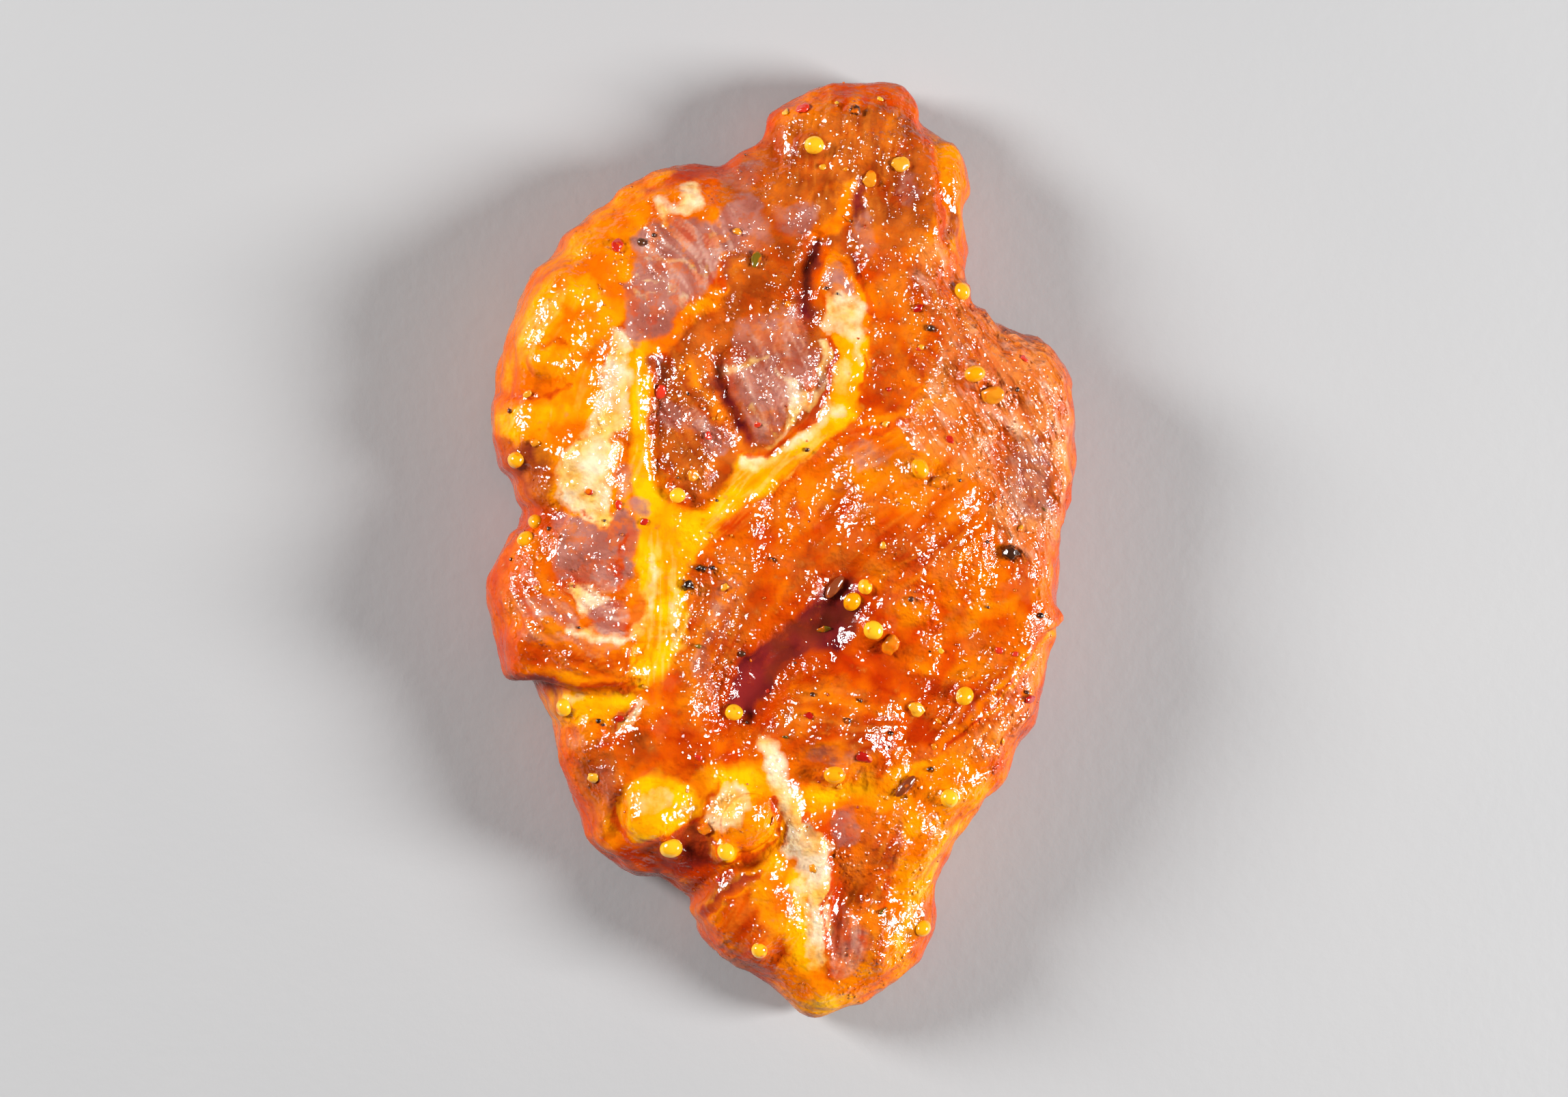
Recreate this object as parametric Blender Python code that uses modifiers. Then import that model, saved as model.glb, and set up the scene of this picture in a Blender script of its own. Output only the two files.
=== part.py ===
"""A raw, marinated pork neck steak: one boneless slice of the collar, face up on a flat base.

The slice is a slab cut to its outline, with soft round sides. Its face is then worked over with the
seams between the muscles, the folds and flaps, the fat ridges and the swells of each muscle. The
larger spices that stick to it are fused on: mustard seeds, pepper, chilli and onion flakes.

Plan sizes are in millimetres from the middle of the outline, +X to the right and +Y to the narrow end.
"""

import itertools
import math
import random

import bmesh
import bpy
import numpy as np
from mathutils import Matrix, Vector
from mathutils.bvhtree import BVHTree

MM = 0.001

# Driving dimensions, in millimetres
THICKNESS = 17.0  # of the slice where it is thickest, before the muscles swell
END_THICKNESS = 0.66  # share of it left at the two narrow ends
EDGE_RADIUS = 6.0  # of the slab's soft side, before it is tucked under
WAIST = 0.36  # height of the widest level, as a share of the thickness
MUSTARD_SEED = 2.5  # diameter
FINE = 0.85  # spacing of the mesh while the face is worked over
STEAK_FACES = 9400  # triangles kept for the slice without its spices

# The way round the slice at its widest level, clockwise from the narrow end
OUTLINE = [
    (10.0, 62.0), (15.8, 60.8), (18.2, 57.4), (20.6, 55.0), (23.2, 53.0), (24.2, 48.6), (23.4, 42.0),
    (24.0, 34.5), (29.0, 29.4), (35.4, 26.0), (38.0, 20.0), (37.6, 11.0), (36.2, 3.0), (35.6, -6.0),
    (34.8, -13.0), (33.0, -20.5), (30.2, -26.0), (28.4, -31.4), (23.2, -37.2), (20.0, -43.0),
    (19.0, -51.0), (15.4, -57.0), (9.6, -59.8), (4.2, -62.0), (1.2, -60.2), (-4.0, -55.0),
    (-10.6, -50.6), (-11.6, -46.6), (-15.4, -43.0), (-20.6, -42.2), (-25.2, -38.6), (-27.4, -32.0),
    (-30.2, -25.0), (-31.8, -19.4), (-34.6, -15.8), (-37.4, -11.6), (-38.6, -6.6), (-38.0, -2.4),
    (-36.2, 1.6), (-34.6, 5.0), (-36.0, 9.2), (-38.4, 14.6), (-38.0, 22.0), (-35.2, 28.2), (-33.4, 34.4),
    (-28.4, 40.6), (-22.4, 46.4), (-15.6, 50.2), (-9.0, 50.4), (-3.6, 52.4), (-0.8, 57.4), (4.4, 60.6),
]


def groove(points, width, depth, step=0.0, reach=6.0, overhang=0.0):
    """A line worn into the face. A step lifts the left side of it (or, below 0, the right side), fading
    over reach, and overhang leans that side's lip out over the line."""
    return {
        "line": smooth_line(points),
        "width": width,
        "depth": depth,
        "step": step,
        "reach": reach,
        "overhang": overhang,
    }


def smooth_line(points, closed=False, pieces=5):
    """A smooth curve through the points, as short straight runs."""
    p = np.array(points, float)
    count = len(p)
    if closed:
        ring = np.concatenate([p[-1:], p, p[:2]])
    else:
        ring = np.concatenate([2 * p[:1] - p[1:2], p, 2 * p[-1:] - p[-2:-1]])
    share = np.linspace(0, 1, pieces, endpoint=False)[:, None]
    runs = []
    for i in range(count if closed else count - 1):
        a, b, c, d = ring[i : i + 4]
        runs.append(
            b
            + 0.5 * share * (c - a)
            + share**2 * (a - 2.5 * b + 2 * c - 0.5 * d)
            + share**3 * (1.5 * b - 1.5 * c + 0.5 * d - 0.5 * a)
        )
    return np.concatenate(runs + [p[:1] if closed else p[-1:]])


# Seams, slits and folds, named by where they run
GROOVES = [
    # round the sunken eye muscle: its left and lower rim, its upper rim, and its seam on the right
    groove([(-15.5, 26), (-17.4, 21), (-17.6, 15), (-17.2, 10), (-15.4, 6.4), (-12.6, 5.4), (-9.6, 7.8),
            (-6.2, 11)], 0.9, 1.2, step=-1.1),
    groove([(-16, 26), (-13, 29.4), (-10, 31.8), (-5, 31.6), (-1, 32.8), (1.4, 36)], 0.8, 0.5, step=0.6),
    groove([(5, 27), (4.6, 23), (4.1, 19.8), (2.8, 17.2), (0.6, 15.2), (-1.6, 13.2), (-4, 11.4)],
           0.55, 1.2, step=0.5, reach=3),
    # between the two lobes of the eye, and the two slits above it
    groove([(-10.2, 27), (-9.4, 22.6), (-8, 19.2), (-6.6, 16.4), (-5.4, 13.4), (-4.6, 11.6)], 0.85, 1.9),
    groove([(4.4, 42), (3.3, 38.6), (2.1, 35.6), (1.7, 33), (2.1, 30), (2.8, 27.4)], 1.0, 2.3),
    groove([(8.6, 44), (7.2, 41), (7.4, 38.8), (8.7, 36.6), (9.6, 34)], 0.6, 1.1, step=0.4, reach=3),
    # the big flap at the left, its lip hanging over the lower body
    groove([(-38, -16), (-33, -16.8), (-29, -17.6), (-25, -18), (-21.4, -17.6), (-17.6, -16)],
           1.0, 1.3, step=2.6, reach=7, overhang=0.8),
    # the long valley across the middle, and the muscle that rises out of it
    groove([(9.5, -1), (6.4, -6), (4, -10.6), (0, -13.4), (-4, -17), (-7.4, -21.4), (-11, -26)],
           3.6, 2.9, step=-1.2, reach=5, overhang=0.5),
    groove([(-5, -24), (-2.2, -19.4), (1.5, -16.8), (5, -16.2), (10, -17)], 0.7, 0.6, step=-1.1, reach=5),
    groove([(8, -11), (14, -16), (20, -18.4), (28, -17.6)], 1.6, 1.0),
    # the thin tier along the lower right edge
    groove([(36.5, -7), (31, -14), (27.5, -18), (24.2, -21.8), (20, -25.6)], 0.6, 0.5, step=-1.6,
           overhang=0.5),
    # the lower lobe: its own lip, the fold beside its fat seam, and the creases near the left edge
    groove([(-13.5, -48), (-9.4, -43), (-5.5, -40.9), (-1.5, -39.2)], 0.9, 1.7, step=-1.8, reach=5),
    groove([(4.6, -37.6), (5.9, -41.6), (6.2, -46), (6, -50), (6.4, -55)], 1.3, 1.2, step=-0.8, reach=4),
    groove([(-25, -26.4), (-22.8, -22.8), (-20, -19.8)], 0.6, 0.8),
    groove([(-20.6, -27.6), (-22.2, -33), (-22.6, -38.6)], 0.8, 1.0),
    groove([(-19.4, -29.4), (-13.6, -29.6), (-10.8, -33.4)], 0.9, 0.8),
    # the fat strip beside the narrow end, lying lower than the face
    groove([(17.4, 59), (18.7, 53), (19.7, 47), (20.2, 42), (19, 37.4)], 1.2, 0.8, step=-1.3, reach=5),
    # wrinkles of the skin on the right, soft furrows of the broad muscle and of the narrow end
    groove([(14.6, 39), (18.6, 34.6), (21.6, 29.4), (22.6, 23.6)], 0.7, 0.6),
    groove([(20.4, 38), (22.6, 31.6), (27.6, 26.6), (30, 21)], 0.8, 0.7),
    groove([(27.6, 17), (27.2, 11), (28.4, 5.6), (31.4, 1)], 1.2, 0.9),
    groove([(12.4, -9.6), (18, -10.8), (22.6, -9)], 0.9, 0.5),
    groove([(-1.5, 8.6), (-2.4, 2), (-3.6, -4), (-6, -10)], 2.2, 0.8),
    groove([(-2.6, 55), (-1.6, 50.4), (-4.4, 46)], 1.2, 0.9),
    groove([(12, 49), (9.2, 46.6), (8.6, 43)], 0.9, 0.8),
    # the notch in the left side, the slit in the small mauve muscle, and the crease under the bump
    groove([(-42, 3.6), (-36, 3.8), (-31.5, 4.4), (-28, 5.6)], 1.7, 1.9),
    groove([(-21.9, 1.4), (-22.7, -2), (-22.3, -5.4)], 0.4, 0.7),
    groove([(-40, 20.6), (-35, 19.6), (-29.6, 20.4)], 0.8, 0.9),
]

# Ridges of fat: the pale ridge on the left, the long seam under the eye, and the seam of the lower lobe
RIDGES = [
    groove([(-20.6, 30), (-22.4, 24), (-23.4, 17), (-27.4, 11.6), (-26, 6), (-24, 2.6)], 2.4, -1.1),
    groove([(7.4, 30), (6.8, 22), (3.6, 15.4), (-4, 9), (-12, 3.4), (-17.4, -2.4), (-17, -10),
            (-19.6, -17.6)], 2.3, -0.8),
    groove([(-3, -21), (-3.6, -25.4), (-1, -30.6), (1.6, -36), (4.2, -40.6), (3.8, -47), (3.8, -56)],
           1.8, -0.9),
]

# Lumps all over the face: how wide, how high, and the seed of their noise. Lines wander by the last two.
LUMPS = [(15.0, 1.0, 3), (6.0, 0.65, 4), (2.6, 0.2, 5)]
WANDER, WANDER_LUMPS = 0.7, 7.0

# Swells and hollows of the face: centre x and y, half-widths, turn in degrees, height, sharpness
SWELLS = [
    (-31.0, 28.0, 7.0, 14.0, -18, 1.6, 2.0),  # thick fat on the left
    (-31.6, 23.8, 2.5, 2.2, 0, 1.2, 1.0),  # a seed under the marinade
    (-26.4, 11.0, 5.0, 5.4, 0, 1.2, 2.0),
    (-14.0, 36.5, 9.0, 10.0, -30, 1.2, 2.0),  # smooth muscle above the eye
    (-2.6, 22.0, 6.4, 9.0, -12, 1.8, 1.5),  # right lobe of the eye
    (-12.8, 19.0, 4.6, 8.0, 14, 1.4, 1.5),  # left lobe of the eye
    (-13.2, 10.2, 3.8, 3.8, 0, 1.3, 1.5),
    (6.2, 35.4, 2.0, 3.8, 16, 1.4, 1.5),  # the nub between the slits
    (16.0, 3.0, 19.0, 17.0, 40, 3.2, 2.0),  # the broad muscle
    (22.0, 20.0, 11.0, 9.0, 20, 1.4, 2.0),
    (28.0, -6.0, 9.0, 8.0, 0, 1.1, 2.0),
    (31.5, 8.0, 3.6, 6.0, 0, -1.1, 2.0),
    (6.0, -24.0, 11.0, 7.4, -8, 2.8, 2.0),  # the muscle below the valley
    (-26.0, 0.0, 6.4, 5.2, 0, 1.2, 2.0),
    (-27.0, -11.5, 11.0, 5.0, -22, 1.2, 2.0),  # the flap
    (-17.6, -34.4, 5.2, 4.6, 0, 1.7, 1.5),
    (-5.6, -35.4, 3.6, 4.0, 0, 2.3, 0.8),  # a garlic lump under the marinade
    (-8.3, -39.4, 1.4, 1.4, 0, 1.1, 0.8),
    (-2.4, -49.0, 7.0, 9.0, -25, 1.9, 2.0),
    (11.5, -50.5, 6.4, 8.0, 15, 1.6, 2.0),
    (8.8, -45.6, 2.8, 3.4, 0, -1.2, 2.0),
    (8.6, 54.0, 9.0, 6.6, -20, 1.2, 2.0),  # the narrow end
    (21.8, 49.0, 2.4, 6.4, 0, 1.1, 2.0),  # the strip of fat beside it
]

# What sticks to the face: x, y, size, and for flakes and hulls the turn in degrees
MUSTARD = [
    (3.3, 52.6, 1.05), (22.6, 33.6, 0.95), (23.6, 22.6, 1.1), (16.3, 10.3, 1.1), (-14.9, 6.8, 0.85),
    (-33.0, 3.4, 0.95), (-35.6, 11.4, 1.0), (9.5, -5.0, 0.85), (7.9, -6.9, 1.05), (10.5, -10.6, 1.05),
    (22.6, -19.2, 1.05), (-7.4, -21.3, 0.95), (-29.4, -20.6, 0.95), (5.4, -29.3, 1.15), (20.5, -32.4, 1.0),
    (-15.5, -38.8, 1.2), (-8.6, -39.2, 0.95), (17.8, -49.6, 0.95), (-4.0, -52.2, 0.9), (-34.4, 1.2, 0.9),
]
FLAKES = [
    (14.6, 50.2, 2.6, 10), (10.6, 48.2, 2.2, 60), (18.8, 8.6, 2.0, 20), (12.9, -12.4, 2.9, 70),
    (16.3, -20.8, 2.2, -30), (23.0, -16.2, 1.7, 40), (26.2, 20.0, 3.2, 12), (-12.8, 9.4, 1.7, 80),
    (-11.2, -36.4, 1.8, 15), (-25.6, -29.6, 1.8, 50),
]
CHILLI = [
    (2.2, 57.6, 2.0, 35), (-22.5, 39.2, 2.0, 80), (31.2, -19.6, 1.9, 0), (9.2, -27.0, 2.2, -20),
    (-17.0, 20.2, 2.0, 75), (16.6, 31.2, 1.4, 30),
]
PEPPER = [(8.7, 57.2, 1.5), (28.4, -0.6, 2.3), (-13.6, -4.8, 1.5), (-11.8, -2.6, 1.3)]
HULLS = [(5.6, -5.0, 3.6, 52), (14.8, -30.8, 3.6, 48)]


def unit_vectors(count, seed):
    """Directions spread at random, the same on every run."""
    v = np.random.default_rng(seed).normal(size=(count, 3))
    return v / np.linalg.norm(v, axis=1)[:, None]


SLOPES = unit_vectors(4096, 11)


def noise(p, size, seed):
    """Smooth noise from about -1 to 1 at the points p, with lumps of the given size."""
    q = np.asarray(p, float) / size
    cell = np.floor(q).astype(np.int64)
    inside = q - cell
    ease = inside**3 * (inside * (inside * 6 - 15) + 10)
    total = np.zeros(len(q))
    for corner in itertools.product((0, 1), repeat=3):
        at = cell + corner
        index = (at[:, 0] * 73856093) ^ (at[:, 1] * 19349663) ^ (at[:, 2] * 83492791) ^ (seed * 7919)
        slope = SLOPES[(index ^ (index >> 13)) % len(SLOPES)]
        share = np.prod(np.where(corner, ease, 1 - ease), axis=1)
        total += share * ((inside - corner) * slope).sum(axis=1)
    return 1.7 * total


def smoothstep(low, high, value):
    share = np.clip((value - low) / (high - low), 0, 1)
    return share * share * (3 - 2 * share)


def beside(plan, line):
    """For each plan point: the distance from the line, the side (+1 left, -1 right), the share of the way
    along it, and the line's own direction there."""
    nearest = np.full(len(plan), 1e9)
    side, share, heading = np.ones(len(plan)), np.zeros(len(plan)), np.zeros((len(plan), 2))
    lengths = np.linalg.norm(np.diff(line, axis=0), axis=1)
    run = np.concatenate([[0], np.cumsum(lengths)])
    for i, length in enumerate(lengths):
        ahead = (line[i + 1] - line[i]) / length
        offset = plan - line[i]
        along = np.clip(offset @ ahead, 0, length)
        offset = offset - along[:, None] * ahead
        distance = np.hypot(offset[:, 0], offset[:, 1])
        nearer = distance < nearest
        nearest[nearer] = distance[nearer]
        turn = ahead[0] * offset[nearer, 1] - ahead[1] * offset[nearer, 0]
        side[nearer] = np.where(turn < 0, -1, 1)
        share[nearer] = (run[i] + along[nearer]) / run[-1]
        heading[nearer] = ahead
    return nearest, side, share, heading


def near(plan, line, reach):
    """Which plan points lie in the box round a line, widened by reach."""
    return ((plan > line.min(0) - reach) & (plan < line.max(0) + reach)).all(axis=1)


def worn(plan, mark):
    """The height that one groove or ridge adds at plan points, and how far it pushes them sideways."""
    distance, side, share, heading = beside(plan, mark["line"])
    ends = smoothstep(0, 0.16, share) * smoothstep(0, 0.16, 1 - share)
    height = -mark["depth"] * np.exp(-((distance / mark["width"]) ** 2)) * ends
    push = np.zeros((len(plan), 2))
    if mark["step"]:
        signed = distance * side * np.sign(mark["step"])
        lifted = 0.5 + 0.5 * np.tanh(2 * signed / mark["width"])
        fade = np.exp(-np.maximum(signed, 0) / mark["reach"])
        height += abs(mark["step"]) * lifted * fade * ends
        lip = lifted * np.exp(-((distance / (2.5 * mark["width"])) ** 2)) * ends * mark["overhang"]
        to_right = np.stack([heading[:, 1], -heading[:, 0]], axis=1) * np.sign(mark["step"])
        push += lip[:, None] * to_right
    return height, push


def swell(plan, x, y, half_x, half_y, turn, height, sharpness):
    """The height of one rounded swell or hollow."""
    c, s = math.cos(math.radians(turn)), math.sin(math.radians(turn))
    across = ((plan[:, 0] - x) * c + (plan[:, 1] - y) * s) / half_x
    along = ((plan[:, 1] - y) * c - (plan[:, 0] - x) * s) / half_y
    return height * np.clip(1 - across**2 - along**2, 0, 1) ** sharpness


def wandered(plan):
    """Plan points moved about a little, so that no line on the face runs too smoothly."""
    level = np.column_stack([plan, np.zeros(len(plan))])
    return plan + WANDER * np.column_stack([noise(level, WANDER_LUMPS, 1), noise(level, WANDER_LUMPS, 2)])


def relief(place):
    """Height and sideways push of the face at points given in millimetres."""
    plan = place[:, :2]
    level = np.column_stack([plan, np.zeros(len(plan))])
    height = sum(high * noise(level, wide, seed) for wide, high, seed in LUMPS)
    plan = wandered(plan)
    push = np.zeros((len(plan), 2))
    for mark in GROOVES + RIDGES:
        inside = near(plan, mark["line"], 16)
        added, pushed = worn(plan[inside], mark)
        height[inside] += added
        push[inside] += pushed
    for numbers in SWELLS:
        height += swell(plan, *numbers)
    return height, push


def clear_scene():
    for obj in list(bpy.data.objects):
        bpy.data.objects.remove(obj, do_unlink=True)


def new_collection(name):
    made = bpy.data.collections.new(name)
    bpy.context.scene.collection.children.link(made)
    return made


def material(name, colour, roughness):
    made = bpy.data.materials.new(name)
    made.use_nodes = True
    shader = made.node_tree.nodes["Principled BSDF"]
    shader.inputs["Base Color"].default_value = (*colour, 1)
    shader.inputs["Roughness"].default_value = roughness
    shader.inputs["Metallic"].default_value = 0
    made.diffuse_color = (*colour, 1)
    return made


def evaluated_mesh(obj):
    """The object's shape with its modifiers, as a mesh of its own."""
    bpy.context.view_layer.update()
    return bpy.data.meshes.new_from_object(obj.evaluated_get(bpy.context.evaluated_depsgraph_get()))


def apply_modifiers(obj):
    """Gives the object the shape that its modifiers make, and removes them."""
    shaped = evaluated_mesh(obj)
    obj.modifiers.clear()
    obj.data = shaped


def even_out(obj, size):
    """Re-meshes a closed body evenly."""
    remesh = obj.modifiers.new("even", "REMESH")
    remesh.mode, remesh.voxel_size = "VOXEL", size
    apply_modifiers(obj)


def slab(collection):
    """The slice as a plain slab with round sides, in millimetres."""
    curve = bpy.data.curves.new("slab", "CURVE")
    curve.dimensions, curve.fill_mode = "2D", "BOTH"
    curve.extrude = THICKNESS / 2 - EDGE_RADIUS
    curve.bevel_depth, curve.bevel_resolution = EDGE_RADIUS, 6
    curve.offset = -EDGE_RADIUS
    ring = smooth_line(OUTLINE, closed=True, pieces=4)[:-1]
    spline = curve.splines.new("POLY")
    spline.points.add(len(ring) - 1)
    for point, (x, y) in zip(spline.points, ring):
        point.co = (x, y, 0, 1)
    spline.use_cyclic_u = True
    outline = bpy.data.objects.new("slab", curve)
    collection.objects.link(outline)
    solid = bpy.data.objects.new("steak", evaluated_mesh(outline))
    collection.objects.link(solid)
    bpy.data.objects.remove(outline)
    return solid


def vertex_vectors(mesh, name):
    numbers = np.empty(len(mesh.vertices) * 3)
    mesh.vertices.foreach_get(name, numbers)
    return numbers.reshape(-1, 3)


def move_vertices(mesh, place):
    mesh.vertices.foreach_set("co", place.ravel())
    mesh.update()


def shape(mesh):
    """Tucks the slab's sides under, thins its ends and works the face over, down to a flat base."""
    place, normal = vertex_vectors(mesh, "co"), vertex_vectors(mesh, "normal")
    level = place[:, 2] / THICKNESS + 0.5  # 0 at the base, 1 on the face
    lower, upper = 2 * WAIST * level, WAIST + 2 * (1 - WAIST) * (level - 0.5)
    level = np.where(level < 0.5, lower, upper)
    thin = 1 - (1 - END_THICKNESS) * smoothstep(30, 62, np.abs(place[:, 1]))
    place[:, 2] = level * THICKNESS * thin
    height, push = relief(place)
    place += normal * (height * smoothstep(0.06, 0.5, level))[:, None]
    place[:, :2] += push * smoothstep(0.6, 0.95, level)[:, None]
    place[:, 2] = np.maximum(place[:, 2], 0)
    move_vertices(mesh, place)


def thin_out(obj, faces):
    thin = obj.modifiers.new("thin", "DECIMATE")
    thin.ratio = faces / (2 * len(obj.data.polygons))
    apply_modifiers(obj)


def stuck_on(collection, surface, name, spot, form, turn=0.0, sunk=0.35):
    """A spice on the face: its form stood on the surface at the spot, square to it and sunk by a share of
    its height."""
    x, y = spot
    point, normal, _, _ = surface.ray_cast(Vector((x, y, 3 * THICKNESS)), Vector((0, 0, -1)))
    upright = normal.to_track_quat("Z", "Y").to_matrix().to_4x4()
    height = max(v.co.z for v in form.verts) - min(v.co.z for v in form.verts)
    lift = Matrix.Translation((0, 0, (0.5 - sunk) * height))
    turned = Matrix.Rotation(math.radians(turn), 4, "Z")
    form.transform(Matrix.Translation(point) @ turned @ upright @ lift)
    made = bpy.data.objects.new(name, bpy.data.meshes.new(name))
    form.to_mesh(made.data)
    form.free()
    collection.objects.link(made)


def grain(size, slimness=1.0, sides=7):
    """A round seed, or a long one."""
    form = bmesh.new()
    bmesh.ops.create_uvsphere(form, u_segments=sides, v_segments=4, radius=size / 2)
    bmesh.ops.scale(form, vec=(1, slimness, slimness), verts=form.verts)
    return form


def flake(size, seed):
    """A chip with a few uneven corners."""
    form = bmesh.new()
    bmesh.ops.create_cone(
        form, cap_ends=True, segments=6, radius1=size / 2, radius2=0.42 * size, depth=0.45 * size
    )
    draw = random.Random(seed)
    for corner in form.verts:
        corner.co.x *= draw.uniform(0.75, 1.25)
        corner.co.y *= draw.uniform(0.5, 0.85)
    bmesh.ops.triangulate(form, faces=form.faces)
    return form


def add_spices(collection, surface):
    for i, (x, y, share) in enumerate(MUSTARD):
        stuck_on(collection, surface, f"mustard_{i}", (x, y), grain(share * MUSTARD_SEED))
    for i, (x, y, size, turn) in enumerate(FLAKES + CHILLI):
        stuck_on(collection, surface, f"flake_{i}", (x, y), flake(size, i), turn, sunk=0.3)
    for i, (x, y, size) in enumerate(PEPPER):
        stuck_on(collection, surface, f"pepper_{i}", (x, y), grain(size, sides=5))
    for i, (x, y, size, turn) in enumerate(HULLS):
        stuck_on(collection, surface, f"hull_{i}", (x, y), grain(size, 0.36), turn)


def fuse(obj, collection):
    """Joins everything in the collection to the object, and removes it."""
    union = obj.modifiers.new("fused", "BOOLEAN")
    union.operation, union.operand_type = "UNION", "COLLECTION"
    union.collection = collection
    apply_modifiers(obj)
    for other in list(collection.objects):
        bpy.data.objects.remove(other, do_unlink=True)


def stand_at_origin(mesh):
    """Puts the base's middle at the origin, in metres."""
    place = vertex_vectors(mesh, "co")
    low, high = place.min(0), place.max(0)
    middle = np.array([(low[0] + high[0]) / 2, (low[1] + high[1]) / 2, low[2]])
    move_vertices(mesh, (place - middle) * MM)


def main():
    clear_scene()
    steak = slab(new_collection("pork_neck_steak"))
    even_out(steak, FINE)
    shape(steak.data)
    even_out(steak, FINE)
    thin_out(steak, STEAK_FACES)
    spices = new_collection("spices")
    add_spices(spices, BVHTree.FromObject(steak, bpy.context.evaluated_depsgraph_get()))
    fuse(steak, spices)
    stand_at_origin(steak.data)
    steak.data.materials.clear()
    steak.data.materials.append(material("marinated_pork", (0.62, 0.16, 0.03), 0.35))
    steak.data.shade_smooth()


main()
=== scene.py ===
"""A raw, marinated pork neck steak, lying face up on a pale floor.

The slice has the same form as the solid it stands for, at a finer grain. The muscles, fat and bare
patches are painted on it as masks, its fibres and wrinkles are raised from it, and the spices of its
marinade are strewn over it. Plan sizes are in millimetres from the middle of the outline.
"""

import itertools
import math

import bmesh
import bpy
import numpy as np
from mathutils import Matrix, Vector
from mathutils.bvhtree import BVHTree


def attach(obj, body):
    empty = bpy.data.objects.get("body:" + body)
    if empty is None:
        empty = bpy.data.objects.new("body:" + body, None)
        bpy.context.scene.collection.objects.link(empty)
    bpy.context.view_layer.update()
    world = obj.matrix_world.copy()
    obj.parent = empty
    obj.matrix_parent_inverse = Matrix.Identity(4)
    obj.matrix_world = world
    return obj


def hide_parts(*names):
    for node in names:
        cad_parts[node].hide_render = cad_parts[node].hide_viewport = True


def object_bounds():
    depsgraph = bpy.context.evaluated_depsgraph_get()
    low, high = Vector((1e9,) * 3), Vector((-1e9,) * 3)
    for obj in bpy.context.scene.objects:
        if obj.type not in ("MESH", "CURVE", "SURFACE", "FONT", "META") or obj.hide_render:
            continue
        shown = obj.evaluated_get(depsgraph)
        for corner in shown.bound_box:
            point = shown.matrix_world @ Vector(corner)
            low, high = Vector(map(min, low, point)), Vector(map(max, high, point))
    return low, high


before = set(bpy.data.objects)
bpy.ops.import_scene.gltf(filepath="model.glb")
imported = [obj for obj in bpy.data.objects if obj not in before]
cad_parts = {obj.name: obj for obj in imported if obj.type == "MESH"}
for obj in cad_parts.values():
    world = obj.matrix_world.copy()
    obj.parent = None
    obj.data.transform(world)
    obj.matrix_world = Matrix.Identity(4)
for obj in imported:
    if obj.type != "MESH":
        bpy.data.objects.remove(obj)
cad_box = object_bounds()

MM = 0.001  # in metres

# ---------------------------------------------------------------- the form, as in the solid

THICKNESS = 17.0  # of the slice where it is thickest, before the muscles swell
END_THICKNESS = 0.66  # share of it left at the two narrow ends
ENDS_THIN = (30, 62)  # how far from the middle the ends begin to thin, and stop
EDGE_RADIUS = 6.0  # of the slab's soft side, before it is tucked under
WAIST = 0.36  # height of the widest level, as a share of the thickness
RELIEF_RISES = (0.06, 0.5)  # levels between which the relief sets in, as shares of the height
LIPS_LEAN = (0.6, 0.95)  # and the lean of the lips
GROOVE_REACH = 16.0  # how far beside a groove or ridge its form is worked out
MUSTARD_SEED = 2.5  # diameter
BLANK_SPACING = 0.85  # of the mesh while the form is worked
SPACING = 0.76  # of the mesh that the finest relief starts from, halved on the face

# The way round the slice at its widest level, clockwise from the narrow end
OUTLINE = [
    (10.0, 62.0), (15.8, 60.8), (18.2, 57.4), (20.6, 55.0), (23.2, 53.0), (24.2, 48.6), (23.4, 42.0),
    (24.0, 34.5), (29.0, 29.4), (35.4, 26.0), (38.0, 20.0), (37.6, 11.0), (36.2, 3.0), (35.6, -6.0),
    (34.8, -13.0), (33.0, -20.5), (30.2, -26.0), (28.4, -31.4), (23.2, -37.2), (20.0, -43.0),
    (19.0, -51.0), (15.4, -57.0), (9.6, -59.8), (4.2, -62.0), (1.2, -60.2), (-4.0, -55.0),
    (-10.6, -50.6), (-11.6, -46.6), (-15.4, -43.0), (-20.6, -42.2), (-25.2, -38.6), (-27.4, -32.0),
    (-30.2, -25.0), (-31.8, -19.4), (-34.6, -15.8), (-37.4, -11.6), (-38.6, -6.6), (-38.0, -2.4),
    (-36.2, 1.6), (-34.6, 5.0), (-36.0, 9.2), (-38.4, 14.6), (-38.0, 22.0), (-35.2, 28.2), (-33.4, 34.4),
    (-28.4, 40.6), (-22.4, 46.4), (-15.6, 50.2), (-9.0, 50.4), (-3.6, 52.4), (-0.8, 57.4), (4.4, 60.6),
]


def groove(points, width, depth, step=0.0, reach=6.0, overhang=0.0):
    """A line worn into the face. A step lifts the left side of it (or, below 0, the right side), fading
    over reach, and overhang leans that side's lip out over the line."""
    return {
        "line": smooth_line(points),
        "width": width,
        "depth": depth,
        "step": step,
        "reach": reach,
        "overhang": overhang,
    }


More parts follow.
